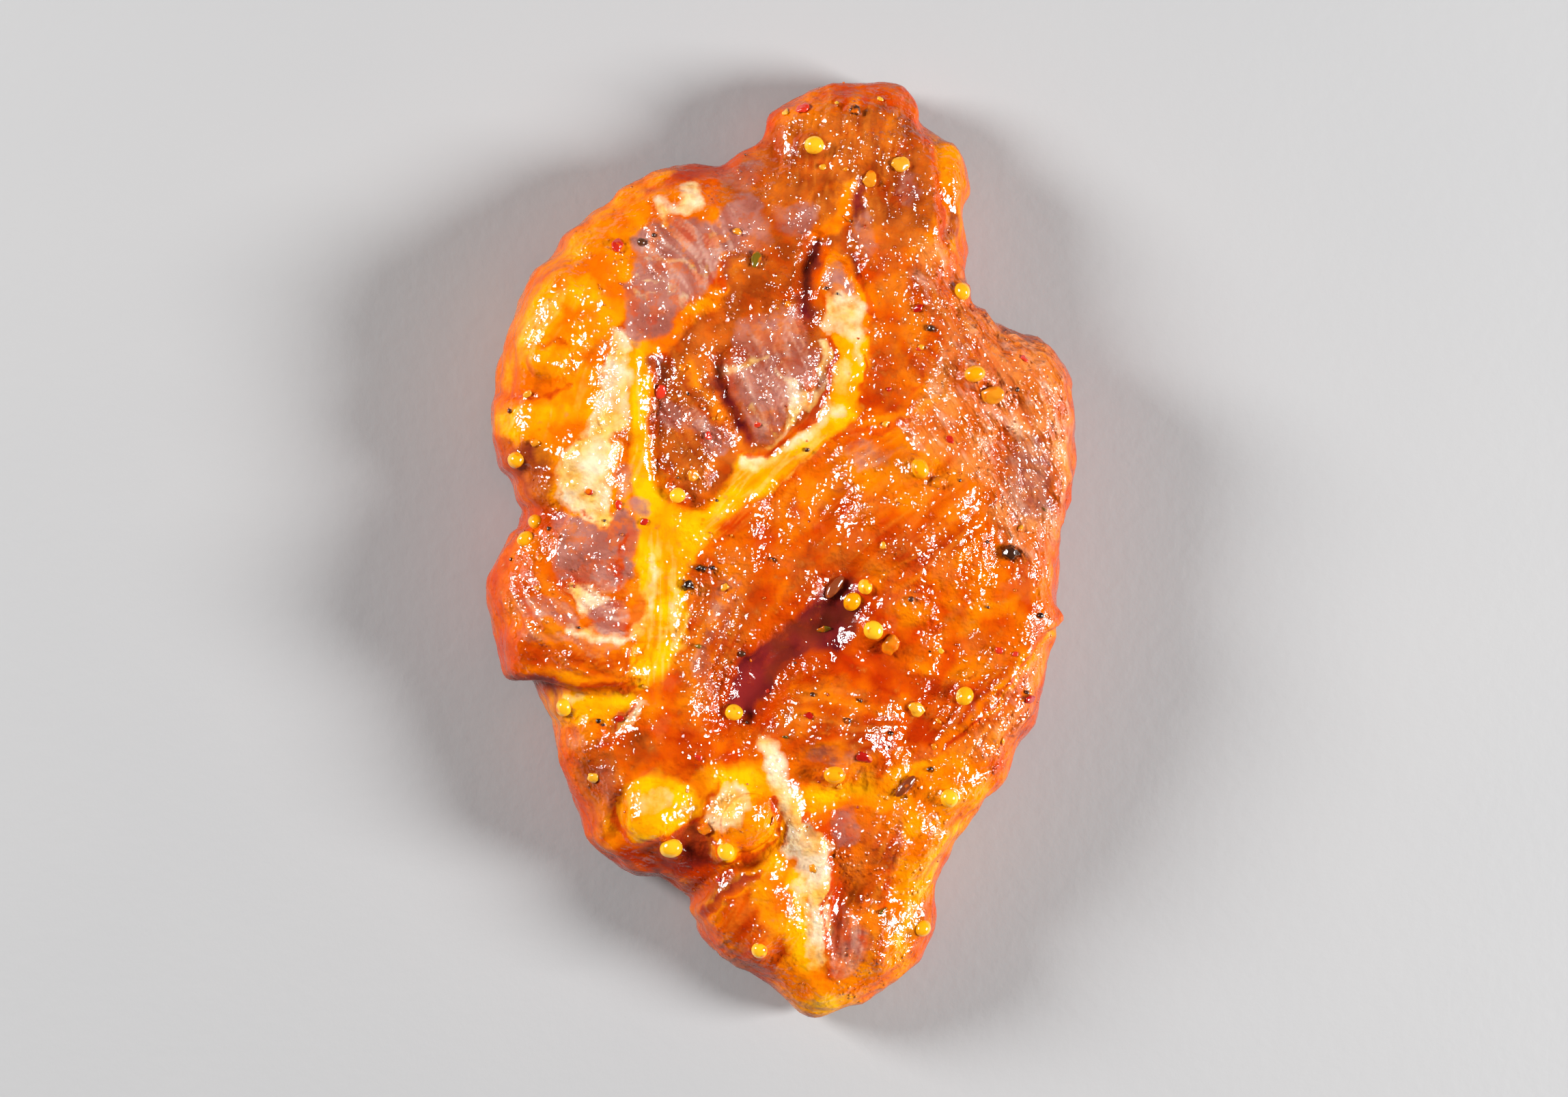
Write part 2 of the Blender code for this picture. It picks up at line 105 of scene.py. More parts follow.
def smooth_line(points, closed=False, pieces=5):
    """A smooth curve through the points, as short straight runs."""
    p = np.array(points, float)
    count = len(p)
    if closed:
        ring = np.concatenate([p[-1:], p, p[:2]])
    else:
        ring = np.concatenate([2 * p[:1] - p[1:2], p, 2 * p[-1:] - p[-2:-1]])
    share = np.linspace(0, 1, pieces, endpoint=False)[:, None]
    runs = []
    for i in range(count if closed else count - 1):
        a, b, c, d = ring[i : i + 4]
        runs.append(
            b
            + 0.5 * share * (c - a)
            + share**2 * (a - 2.5 * b + 2 * c - 0.5 * d)
            + share**3 * (1.5 * b - 1.5 * c + 0.5 * d - 0.5 * a)
        )
    return np.concatenate(runs + [p[:1] if closed else p[-1:]])


# Seams, slits and folds, named by where they run
GROOVES = [
    # round the sunken eye muscle: its left and lower rim, its upper rim, and its seam on the right
    groove([(-15.5, 26), (-17.4, 21), (-17.6, 15), (-17.2, 10), (-15.4, 6.4), (-12.6, 5.4), (-9.6, 7.8),
            (-6.2, 11)], 0.9, 1.2, step=-1.1),
    groove([(-16, 26), (-13, 29.4), (-10, 31.8), (-5, 31.6), (-1, 32.8), (1.4, 36)], 0.8, 0.5, step=0.6),
    groove([(5, 27), (4.6, 23), (4.1, 19.8), (2.8, 17.2), (0.6, 15.2), (-1.6, 13.2), (-4, 11.4)],
           0.55, 1.2, step=0.5, reach=3),
    # between the two lobes of the eye, and the two slits above it
    groove([(-10.2, 27), (-9.4, 22.6), (-8, 19.2), (-6.6, 16.4), (-5.4, 13.4), (-4.6, 11.6)], 0.85, 1.9),
    groove([(4.4, 42), (3.3, 38.6), (2.1, 35.6), (1.7, 33), (2.1, 30), (2.8, 27.4)], 1.0, 2.3),
    groove([(8.6, 44), (7.2, 41), (7.4, 38.8), (8.7, 36.6), (9.6, 34)], 0.6, 1.1, step=0.4, reach=3),
    # the big flap at the left, its lip hanging over the lower body
    groove([(-38, -16), (-33, -16.8), (-29, -17.6), (-25, -18), (-21.4, -17.6), (-17.6, -16)],
           1.0, 1.3, step=2.6, reach=7, overhang=0.8),
    # the long valley across the middle, and the muscle that rises out of it
    groove([(9.5, -1), (6.4, -6), (4, -10.6), (0, -13.4), (-4, -17), (-7.4, -21.4), (-11, -26)],
           3.6, 2.9, step=-1.2, reach=5, overhang=0.5),
    groove([(-5, -24), (-2.2, -19.4), (1.5, -16.8), (5, -16.2), (10, -17)], 0.7, 0.6, step=-1.1, reach=5),
    groove([(8, -11), (14, -16), (20, -18.4), (28, -17.6)], 1.6, 1.0),
    # the thin tier along the lower right edge
    groove([(36.5, -7), (31, -14), (27.5, -18), (24.2, -21.8), (20, -25.6)], 0.6, 0.5, step=-1.6,
           overhang=0.5),
    # the lower lobe: its own lip, the fold beside its fat seam, and the creases near the left edge
    groove([(-13.5, -48), (-9.4, -43), (-5.5, -40.9), (-1.5, -39.2)], 0.9, 1.7, step=-1.8, reach=5),
    groove([(4.6, -37.6), (5.9, -41.6), (6.2, -46), (6, -50), (6.4, -55)], 1.3, 1.2, step=-0.8, reach=4),
    groove([(-25, -26.4), (-22.8, -22.8), (-20, -19.8)], 0.6, 0.8),
    groove([(-20.6, -27.6), (-22.2, -33), (-22.6, -38.6)], 0.8, 1.0),
    groove([(-19.4, -29.4), (-13.6, -29.6), (-10.8, -33.4)], 0.9, 0.8),
    # the fat strip beside the narrow end, lying lower than the face
    groove([(17.4, 59), (18.7, 53), (19.7, 47), (20.2, 42), (19, 37.4)], 1.2, 0.8, step=-1.3, reach=5),
    # wrinkles of the skin on the right, soft furrows of the broad muscle and of the narrow end
    groove([(14.6, 39), (18.6, 34.6), (21.6, 29.4), (22.6, 23.6)], 0.7, 0.6),
    groove([(20.4, 38), (22.6, 31.6), (27.6, 26.6), (30, 21)], 0.8, 0.7),
    groove([(27.6, 17), (27.2, 11), (28.4, 5.6), (31.4, 1)], 1.2, 0.9),
    groove([(12.4, -9.6), (18, -10.8), (22.6, -9)], 0.9, 0.5),
    groove([(-1.5, 8.6), (-2.4, 2), (-3.6, -4), (-6, -10)], 2.2, 0.8),
    groove([(-2.6, 55), (-1.6, 50.4), (-4.4, 46)], 1.2, 0.9),
    groove([(12, 49), (9.2, 46.6), (8.6, 43)], 0.9, 0.8),
    # the notch in the left side, the slit in the small mauve muscle, and the crease under the bump
    groove([(-42, 3.6), (-36, 3.8), (-31.5, 4.4), (-28, 5.6)], 1.7, 1.9),
    groove([(-21.9, 1.4), (-22.7, -2), (-22.3, -5.4)], 0.4, 0.7),
    groove([(-40, 20.6), (-35, 19.6), (-29.6, 20.4)], 0.8, 0.9),
]

# Ridges of fat: the pale ridge on the left, the long seam under the eye, and the seam of the lower lobe
RIDGES = [
    groove([(-20.6, 30), (-22.4, 24), (-23.4, 17), (-27.4, 11.6), (-26, 6), (-24, 2.6)], 2.4, -1.1),
    groove([(7.4, 30), (6.8, 22), (3.6, 15.4), (-4, 9), (-12, 3.4), (-17.4, -2.4), (-17, -10),
            (-19.6, -17.6)], 2.3, -0.8),
    groove([(-3, -21), (-3.6, -25.4), (-1, -30.6), (1.6, -36), (4.2, -40.6), (3.8, -47), (3.8, -56)],
           1.8, -0.9),
]

# Lumps all over the face: how wide, how high, and the seed of their noise. Lines wander by the last two.
LUMPS = [(15.0, 1.0, 3), (6.0, 0.65, 4), (2.6, 0.2, 5)]
WANDER, WANDER_LUMPS = 0.7, 7.0

# Swells and hollows of the face: centre x and y, half-widths, turn in degrees, height, sharpness
SWELLS = [
    (-31.0, 28.0, 7.0, 14.0, -18, 1.6, 2.0),  # thick fat on the left
    (-31.6, 23.8, 2.5, 2.2, 0, 1.2, 1.0),  # a seed under the marinade
    (-26.4, 11.0, 5.0, 5.4, 0, 1.2, 2.0),
    (-14.0, 36.5, 9.0, 10.0, -30, 1.2, 2.0),  # smooth muscle above the eye
    (-2.6, 22.0, 6.4, 9.0, -12, 1.8, 1.5),  # right lobe of the eye
    (-12.8, 19.0, 4.6, 8.0, 14, 1.4, 1.5),  # left lobe of the eye
    (-13.2, 10.2, 3.8, 3.8, 0, 1.3, 1.5),
    (6.2, 35.4, 2.0, 3.8, 16, 1.4, 1.5),  # the nub between the slits
    (16.0, 3.0, 19.0, 17.0, 40, 3.2, 2.0),  # the broad muscle
    (22.0, 20.0, 11.0, 9.0, 20, 1.4, 2.0),
    (28.0, -6.0, 9.0, 8.0, 0, 1.1, 2.0),
    (31.5, 8.0, 3.6, 6.0, 0, -1.1, 2.0),
    (6.0, -24.0, 11.0, 7.4, -8, 2.8, 2.0),  # the muscle below the valley
    (-26.0, 0.0, 6.4, 5.2, 0, 1.2, 2.0),
    (-27.0, -11.5, 11.0, 5.0, -22, 1.2, 2.0),  # the flap
    (-17.6, -34.4, 5.2, 4.6, 0, 1.7, 1.5),
    (-5.6, -35.4, 3.6, 4.0, 0, 2.3, 0.8),  # a garlic lump under the marinade
    (-8.3, -39.4, 1.4, 1.4, 0, 1.1, 0.8),
    (-2.4, -49.0, 7.0, 9.0, -25, 1.9, 2.0),
    (11.5, -50.5, 6.4, 8.0, 15, 1.6, 2.0),
    (8.8, -45.6, 2.8, 3.4, 0, -1.2, 2.0),
    (8.6, 54.0, 9.0, 6.6, -20, 1.2, 2.0),  # the narrow end
    (21.8, 49.0, 2.4, 6.4, 0, 1.1, 2.0),  # the strip of fat beside it
]

# Small swells that are sharper on the finished face: the two lumps of the lower body, and the sunken seed
DOMES = [
    (-17.6, -34.0, 4.6, 3.8, 0, 0.7, 0.6),
    (-5.6, -35.4, 3.5, 3.8, 0, 0.8, 0.5),
    (-8.3, -39.4, 1.4, 1.3, 0, 0.5, 0.5),
    (-31.6, 23.8, 2.4, 2.1, 0, 0.5, 0.6),
]

# What sticks to the face: x, y, size, and for flakes and hulls the turn in degrees
MUSTARD = [
    (3.3, 52.6, 1.05), (22.6, 33.6, 0.95), (23.6, 22.6, 1.1), (16.3, 10.3, 1.1), (-14.9, 6.8, 0.85),
    (-33.0, 3.4, 0.95), (-35.6, 11.4, 1.0), (9.5, -5.0, 0.85), (7.9, -6.9, 1.05), (10.5, -10.6, 1.05),
    (22.6, -19.2, 1.05), (-7.4, -21.3, 0.95), (-29.4, -20.6, 0.95), (5.4, -29.3, 1.15), (20.5, -32.4, 1.0),
    (-15.5, -38.8, 1.2), (-8.6, -39.2, 0.95), (17.8, -49.6, 0.95), (-4.0, -52.2, 0.9), (-34.4, 1.2, 0.9),
]
FLAKES = [
    (14.6, 50.2, 2.6, 10), (10.6, 48.2, 2.2, 60), (18.8, 8.6, 2.0, 20), (12.9, -12.4, 2.9, 70),
    (16.3, -20.8, 2.2, -30), (23.0, -16.2, 1.7, 40), (26.2, 20.0, 3.2, 12), (-12.8, 9.4, 1.7, 80),
    (-11.2, -36.4, 1.8, 15), (-25.6, -29.6, 1.8, 50),
]
CHILLI = [
    (2.2, 57.6, 2.0, 35), (-22.5, 39.2, 2.0, 80), (31.2, -19.6, 1.9, 0), (9.2, -27.0, 2.2, -20),
    (-17.0, 20.2, 2.0, 75), (16.6, 31.2, 1.4, 30),
]
PEPPER = [(8.7, 57.2, 1.5), (28.4, -0.6, 2.3), (-13.6, -4.8, 1.5), (-11.8, -2.6, 1.3)]
HULLS = [(5.6, -5.0, 3.6, 52), (14.8, -30.8, 3.6, 48)]

# Smaller still, on the finished face only
PEPPER_BITS = [
    (-6.4, -13.6, 1.0), (18.2, 28.6, 1.1), (18.1, -28.7, 0.9), (-25.0, -22.3, 0.8), (15.4, -6.6, 0.8),
    (32.4, -8.7, 0.9), (7.0, -22.3, 1.0), (2.6, -19.0, 0.8), (12.8, -24.0, 0.8), (-19.4, 39.6, 1.2),
]
HERBS = [(-4.6, 37.4, 2.6, 75), (4.4, -10.4, 2.0, 10)]

# Directions spread at random, the same on every run, and primes that scatter the noise's cells over them
SLOPES = np.random.default_rng(11).normal(size=(4096, 3))
SLOPES /= np.linalg.norm(SLOPES, axis=1)[:, None]
PRIMES = (73856093, 19349663, 83492791, 7919)
NOISE_GAIN = 1.7  # brings the noise to about -1 to 1


def noise(p, size, seed):
    """Smooth noise from about -1 to 1 at the points p, with lumps of the given size."""
    q = np.asarray(p, float) / size
    cell = np.floor(q).astype(np.int64)
    inside = q - cell
    ease = inside**3 * (inside * (inside * 6 - 15) + 10)
    total = np.zeros(len(q))
    for corner in itertools.product((0, 1), repeat=3):
        x, y, z = (cell + corner).T
        index = (x * PRIMES[0]) ^ (y * PRIMES[1]) ^ (z * PRIMES[2]) ^ (seed * PRIMES[3])
        slope = SLOPES[(index ^ (index >> 13)) % len(SLOPES)]
        share = np.prod(np.where(corner, ease, 1 - ease), axis=1)
        total += share * ((inside - corner) * slope).sum(axis=1)
    return NOISE_GAIN * total


def wobble(place, size, seed):
    """A pair of noises, to move plan points about by."""
    return np.column_stack([noise(place, size, seed), noise(place, size, seed + 1)])


def smoothstep(low, high, value):
    share = np.clip((value - low) / (high - low), 0, 1)
    return share * share * (3 - 2 * share)


def fading_ends(share, run):
    """1 along a line, falling to 0 at its ends over a run of it, all as shares of its length."""
    return smoothstep(0, run, share) * smoothstep(0, run, 1 - share)


def beside(plan, line):
    """For each plan point: the distance from the line, the side (+1 left, -1 right), the share of the way
    along it, and the line's own direction there."""
    nearest = np.full(len(plan), np.inf)
    side, share, heading = np.ones(len(plan)), np.zeros(len(plan)), np.zeros((len(plan), 2))
    lengths = np.linalg.norm(np.diff(line, axis=0), axis=1)
    run = np.concatenate([[0], np.cumsum(lengths)])
    for i, length in enumerate(lengths):
        ahead = (line[i + 1] - line[i]) / length
        offset = plan - line[i]
        along = np.clip(offset @ ahead, 0, length)
        offset = offset - along[:, None] * ahead
        distance = np.hypot(offset[:, 0], offset[:, 1])
        nearer = distance < nearest
        nearest[nearer] = distance[nearer]
        turn = ahead[0] * offset[nearer, 1] - ahead[1] * offset[nearer, 0]
        side[nearer] = np.where(turn < 0, -1, 1)
        share[nearer] = (run[i] + along[nearer]) / run[-1]
        heading[nearer] = ahead
    return nearest, side, share, heading


def near(plan, line, reach):
    """Which plan points lie in the box round a line, widened by reach."""
    return ((plan > line.min(0) - reach) & (plan < line.max(0) + reach)).all(axis=1)


def worn(plan, mark):
    """The height that one groove or ridge adds at plan points, and how far it pushes them sideways."""
    distance, side, share, heading = beside(plan, mark["line"])
    ends = fading_ends(share, 0.16)
    height = -mark["depth"] * np.exp(-((distance / mark["width"]) ** 2)) * ends
    push = np.zeros((len(plan), 2))
    if mark["step"]:
        signed = distance * side * np.sign(mark["step"])
        lifted = 0.5 + 0.5 * np.tanh(2 * signed / mark["width"])
        fade = np.exp(-np.maximum(signed, 0) / mark["reach"])
        height += abs(mark["step"]) * lifted * fade * ends
        lip = lifted * np.exp(-((distance / (2.5 * mark["width"])) ** 2)) * ends * mark["overhang"]
        to_right = np.stack([heading[:, 1], -heading[:, 0]], axis=1) * np.sign(mark["step"])
        push += lip[:, None] * to_right
    return height, push


def in_oval(plan, x, y, half_x, half_y, turn):
    """Plan points as an oval has them, across and along it, with 1 at its edge."""
    c, s = math.cos(math.radians(turn)), math.sin(math.radians(turn))
    across = ((plan[:, 0] - x) * c + (plan[:, 1] - y) * s) / half_x
    along = ((plan[:, 1] - y) * c - (plan[:, 0] - x) * s) / half_y
    return across, along


def swell(plan, *row):
    """The height of one rounded swell or hollow: an oval, with its height and sharpness."""
    *oval, height, sharpness = row
    across, along = in_oval(plan, *oval)
    return height * np.clip(1 - across**2 - along**2, 0, 1) ** sharpness


def at_ground(plan):
    """Plan points as places of height 0."""
    return np.column_stack([plan, np.zeros(len(plan))])


def wandered(plan):
    """Plan points moved about a little, so that no line on the face runs too smoothly."""
    return plan + WANDER * wobble(at_ground(plan), WANDER_LUMPS, 1)


def relief(place):
    """Height and sideways push of the face at points given in millimetres."""
    ground = at_ground(place[:, :2])
    height = sum(high * noise(ground, wide, seed) for wide, high, seed in LUMPS)
    plan = wandered(place[:, :2])
    push = np.zeros((len(plan), 2))
    for mark in GROOVES + RIDGES:
        inside = near(plan, mark["line"], GROOVE_REACH)
        added, pushed = worn(plan[inside], mark)
        height[inside] += added
        push[inside] += pushed
    for row in SWELLS:
        height += swell(plan, *row)
    return height, push


def new_object(name, data):
    """An object with the given data, in the scene."""
    made = bpy.data.objects.new(name, data)
    bpy.context.scene.collection.objects.link(made)
    return made


def evaluated_mesh(obj):
    """The object's shape with its modifiers, as a mesh of its own."""
    bpy.context.view_layer.update()
    return bpy.data.meshes.new_from_object(obj.evaluated_get(bpy.context.evaluated_depsgraph_get()))


def apply_modifiers(obj):
    """Gives the object the shape that its modifiers make, and removes them."""
    shaped = evaluated_mesh(obj)
    obj.modifiers.clear()
    obj.data = shaped


def even_out(obj, size):
    """Re-meshes a closed body evenly."""
    remesh = obj.modifiers.new("even", "REMESH")
    remesh.mode, remesh.voxel_size = "VOXEL", size
    apply_modifiers(obj)


def slab():
    """The slice as a plain slab with round sides, in millimetres."""
    curve = bpy.data.curves.new("slab", "CURVE")
    curve.dimensions, curve.fill_mode = "2D", "BOTH"
    curve.extrude = THICKNESS / 2 - EDGE_RADIUS
    curve.bevel_depth, curve.bevel_resolution = EDGE_RADIUS, 6
    curve.offset = -EDGE_RADIUS
    ring = smooth_line(OUTLINE, closed=True, pieces=4)[:-1]
    spline = curve.splines.new("POLY")
    spline.points.add(len(ring) - 1)
    for point, (x, y) in zip(spline.points, ring):
        point.co = (x, y, 0, 1)
    spline.use_cyclic_u = True
    outline = new_object("slab", curve)
    solid = new_object("marinated_steak", evaluated_mesh(outline))
    bpy.data.objects.remove(outline)
    return solid


def vertex_vectors(mesh, name):
    """The places ("co") or normals ("normal") of a mesh's vertices."""
    numbers = np.empty(len(mesh.vertices) * 3)
    mesh.vertices.foreach_get(name, numbers)
    return numbers.reshape(-1, 3)


def move_vertices(mesh, place):
    mesh.vertices.foreach_set("co", place.ravel())
    mesh.update()


def shape(mesh):
    """Tucks the slab's sides under, thins its ends and works the face over, down to a flat base."""
    place, normal = vertex_vectors(mesh, "co"), vertex_vectors(mesh, "normal")
    level = place[:, 2] / THICKNESS + 0.5  # 0 at the base, 1 on the face
    lower, upper = 2 * WAIST * level, WAIST + 2 * (1 - WAIST) * (level - 0.5)
    level = np.where(level < 0.5, lower, upper)
    thin = 1 - (1 - END_THICKNESS) * smoothstep(*ENDS_THIN, np.abs(place[:, 1]))
    place[:, 2] = level * THICKNESS * thin
    height, push = relief(place)
    place += normal * (height * smoothstep(*RELIEF_RISES, level))[:, None]
    place[:, :2] += push * smoothstep(*LIPS_LEAN, level)[:, None]
    place[:, 2] = np.maximum(place[:, 2], 0)
    move_vertices(mesh, place)


# ---------------------------------------------------------------- what shows where on the face

def area(*points, share=1.0):
    """A patch inside a closed outline."""
    return {"ring": smooth_line(points, closed=True, pieces=3), "share": share}


def band(width, *points, share=1.0):
    """A strip of the given width along a line."""
    return {"line": smooth_line(points), "half": width / 2, "share": share}


def blob(x, y, half_x, half_y, turn=0.0, share=1.0):
    """An oval patch."""
    return {"oval": (x, y, half_x, half_y, turn), "share": share}


# Each finish, from the lowest to the topmost: how softly it fades at its edges, and its patches
FINISHES = {}

# muscle that took on most colour
FINISHES["deep"] = 2.4, [
    area((-16, 49.4), (-12, 50.6), (-6, 51.4), (-4, 49), (-8.6, 46.6), (-12.6, 48.2), (-15.6, 46.6)),
    blob(-22.8, 39.4, 2.4, 3.2),
    blob(17, 1, 8, 2.8, 14, share=0.7),
    area((-10, -22), (-9, -14), (-3, -8.6), (3, -3), (8, -1), (11, -5), (12, -11), (8, -15), (1, -17),
         (-3, -23), share=0.9),
    band(4.4, (7, -12.6), (13, -17), (19, -19.4), (24.6, -20)),
    band(4.4, (9, -24.6), (15, -23.6), (21, -22)),
    blob(-13.4, -26.2, 4.4, 2.4),
    area((-23, -38.4), (-16, -37), (-10, -37.6), (-10, -42), (-15, -44), (-22, -43.4)),
    area((-9.4, -46), (-6, -44.4), (-4, -46), (-3.4, -49), (-3.6, -55), (-8.4, -51)),
    band(3.2, (-37, -12), (-31, -13.8), (-25, -15), (-20.6, -14.4), share=0.6),
    blob(-36.4, -2.6, 3.2, 4.4, share=0.5),
    blob(32.4, 17.2, 1.7, 3),
    area((8.4, 23), (12.4, 20), (14, 17), (10, 15), (7.6, 16), (9.2, 19.6), share=0.8),
    blob(17.4, -37.4, 1.6, 3.4),
    blob(12, -39.6, 3.4, 2, share=0.4),
    blob(26.4, -21, 3.6, 1.4, 48, share=0.7),
    band(3.4, (-12, -12), (-8, -16), (-10.4, -21), (-13, -23), share=0.4),
    blob(9, 55, 3.4, 1.8, 20, share=0.6),
    blob(13, 44.6, 2, 3.4, 35, share=0.7),
]

# muscle that took on little, seen brown through a thin film
FINISHES["brown"] = 2.2, [
    area((-10, 32), (-4, 31.4), (1, 33), (4, 31), (4.6, 25), (4.2, 21.4), (2.8, 17.4), (-0.6, 15),
         (-5, 11.6), (-10, 8), (-14.5, 5.6), (-17.6, 12), (-18.4, 20), (-17, 25), (-13.6, 28.4)),
    area((-7, 50), (-1, 55.6), (3, 57), (8, 57.4), (14.6, 58), (17.6, 55), (18.6, 47), (17.6, 41),
         (14, 38.4), (10.4, 41), (9, 36), (4, 40), (1, 34), (-4, 31), (-9.4, 32), (-8.8, 37), (-7, 42),
         (-9, 46)),
    area((-38.6, 15.4), (-34, 13.4), (-31, 9.8), (-29.6, 5.6), (-33, 4.4), (-39, 4.6)),
    area((10.4, 40), (17, 40), (20, 33), (18.4, 27), (17, 21), (13.6, 16.6), (10.8, 18), (10, 24),
         (10.6, 30), share=0.4),
    area((-2, -17), (4, -16), (11, -18), (14, -22), (10, -27.6), (3, -29), (-0.8, -26), (-2.8, -21),
         share=0.4),
    area((5.4, -34.8), (10, -33.8), (12.4, -37), (12.6, -41), (9, -43), (5.8, -41), (4.6, -38), share=0.42),
    area((5.8, -42), (10, -42), (12.6, -44), (12, -47), (8, -47.6), (6, -46), share=0.5),
    area((-26.6, -26.4), (-22.6, -27), (-21.6, -31), (-22.6, -36), (-25.6, -37), (-27.4, -31)),
    blob(-19.8, -25.4, 3.2, 2.2, share=0.8),
    area((-29, -23), (-25.4, -23.4), (-24.4, -26), (-27, -28.6), (-29.4, -26), share=0.5),
    blob(3, -3, 5, 3.4, 40, share=0.5),
    area((-13, -2), (-8, 1), (-4, -2), (-4, -9), (-7, -15), (-10, -20), (-14, -22), (-15, -14), (-14, -8),
         share=0.5),
]

# the skin over the right side
FINISHES["skin"] = 2.2, [
    area((17, 40), (23, 36), (30, 30), (36, 26.6), (38.6, 20), (38.4, 10), (37, 2), (31, -1), (27, 2),
         (25, 8), (19, 11.6), (14.6, 15.4), (18, 21), (20, 28), (16, 34), share=0.6),
    area((29, 21.6), (33, 22), (36, 16), (36, 8), (33, 2), (28.6, 2.6), (26, 7), (28, 13)),
    area((23, -22), (29, -16), (34, -12), (34, -18), (30, -24), (24, -28), share=0.25),
    band(2.4, (15, -32.6), (16, -36), (14.4, -40), share=0.4),
]

FINISHES["fat"] = 1.5, [
    area((-13, 50.6), (-20, 48.6), (-28, 43), (-34.6, 35.4), (-38.4, 27.6), (-40, 18), (-38, 15), (-34, 13),
         (-30.6, 9), (-28.4, 13), (-25.6, 16), (-24.6, 22), (-23.6, 27), (-21.2, 31), (-21.2, 36),
         (-20, 40), (-18, 43.4), (-18.6, 46.6)),
    area((-22, 14), (-20, 5), (-24, 2), (-30, 4.6), (-31, 9), (-26, 14)),
    area((19, 55), (23.6, 55), (25, 49), (24, 41), (21.6, 38.6), (19.8, 43), (19.6, 49), share=0.72),
    area((-12.4, -29), (-6, -27.6), (-2, -29), (0, -32), (-2.6, -40), (-9, -41), (-11, -36), (-13.6, -33)),
    area((1, -30.4), (6, -30.8), (11, -30.6), (14, -28.6), (18, -30), (16, -34), (11, -33.4), (5, -34.6),
         (2, -34.4)),
    area((14, -28.6), (22, -27), (27, -31), (23, -38), (20.4, -44), (17.6, -51), (13.4, -56), (12.6, -50),
         (13, -44), (15, -38), (14, -33)),
    band(1.8, (36, -9), (31.4, -14), (27.5, -18.4), (24.2, -22), (19.4, -25.8)),
    band(2.0, (36, -24), (31, -29), (27, -33), (23, -38)),
    band(2.6, (-11.4, -48), (-9, -44.8), (-5.6, -42), (-1.6, -40)),
    area((-0.6, -53), (3, -54), (6, -56.4), (11, -55.4), (17, -54), (13, -60), (5, -63), (0, -61), (-2, -57)),
    band(1.6, (-34, -16), (-29, -17), (-24, -17.6), (-19.6, -17.2)),
    band(1.6, (7.7, 47.5), (7.4, 44.6), (7, 42.5), (3.6, 40.8)),
    band(1.8, (-20.6, 25), (-16, 27.6), (-13, 30.6), (-9.4, 32.4)),
    area((4.4, 38.4), (7.6, 38.6), (9.6, 35), (10.4, 30), (9, 27), (5, 28), (4.4, 33), share=0.8),
    band(2.6, (-13, -33), (-10, -30.6), (-6.6, -28.4)),
    area((-31, -21.6), (-21, -21), (-22, -24), (-26, -24.6), (-30, -27), share=0.6),
    blob(-23, -37, 1.6, 2.2, share=0.8),
    blob(12, 12, 3.4, 1.6, -40, share=0.5),
    area((-4.4, -41.6), (0, -41), (1, -46), (0.4, -51), (-3, -49.6), (-5.4, -45), share=0.72),
    band(1.2, (8.8, 16), (14, 17.2), (19.6, 19.6), share=0.6),
    band(1.5, (-13.4, 23.4), (-10.8, 19.6), (-8.4, 16.4), (-6.6, 13.6), share=0.55),
    blob(25.4, -8.6, 4, 1.4, 25, share=0.5),
]

FINISHES["yellow"] = 1.9, [
    area((5.8, 27.4), (9.6, 27.4), (9.6, 22), (8.8, 18.6), (5.8, 15), (2, 11.6), (-3, 8), (-7.6, 4),
         (-11.6, 0), (-14, -4), (-13.8, -9), (-15.4, -14.4), (-19, -17.8), (-20.8, -14), (-19.2, -8),
         (-20.6, -3), (-20.2, 2), (-19.2, 6), (-20.6, 10), (-21.2, 16), (-21, 24), (-20, 27), (-18.6, 25.6),
         (-18.7, 19), (-18.3, 12), (-16.8, 7.6), (-14.4, 4.9), (-11, 5.8), (-6.8, 10.8), (-4, 11.6),
         (0, 14.2), (3.6, 16.6), (5.2, 20), (5.6, 24)),
    blob(-32.8, 30.4, 3, 4.6, -20, share=0.7),
    blob(-34, 16.6, 4.4, 2.2, 10, share=0.8),
    blob(-27.6, 33, 3, 2, share=0.5),
    blob(-27, 20, 2.4, 3.4, share=0.6),
    blob(-29, 27, 4, 2, 20, share=0.4),
    area((-31, -18.4), (-20.8, -18.4), (-20.4, -20), (-24, -22.4), (-30, -22.6)),
    area((-20.8, -29.8), (-16, -29.4), (-12, -31.4), (-11, -34.2), (-13.6, -35.2), (-16.8, -36.4),
         (-20, -37.4), (-22, -36.4), (-22.4, -34), (-21.6, -31.6)),
    blob(-6, -30.8, 4.2, 2.2),
    blob(-8.3, -39.4, 1.6, 1.4),
    band(2.2, (2.6, -32), (6, -31.8), (10, -31)),
    band(2.2, (22.4, -37), (20, -41), (17, -46), (15, -52), share=0.8),
    area((0.6, -41.6), (2.6, -44), (2, -48), (3.4, -52.6), (1, -53.6), (-1, -50), (0.2, -46.6), (-0.6, -43),
         share=0.9),
    band(1.2, (-10.6, -47), (-8.6, -44.6), (-5.6, -42.2), (-2.4, -40.4), share=0.8),
    blob(6, -60.4, 5, 1.6, 8),
    blob(2.6, -52.6, 2, 2.4, share=0.8),
]

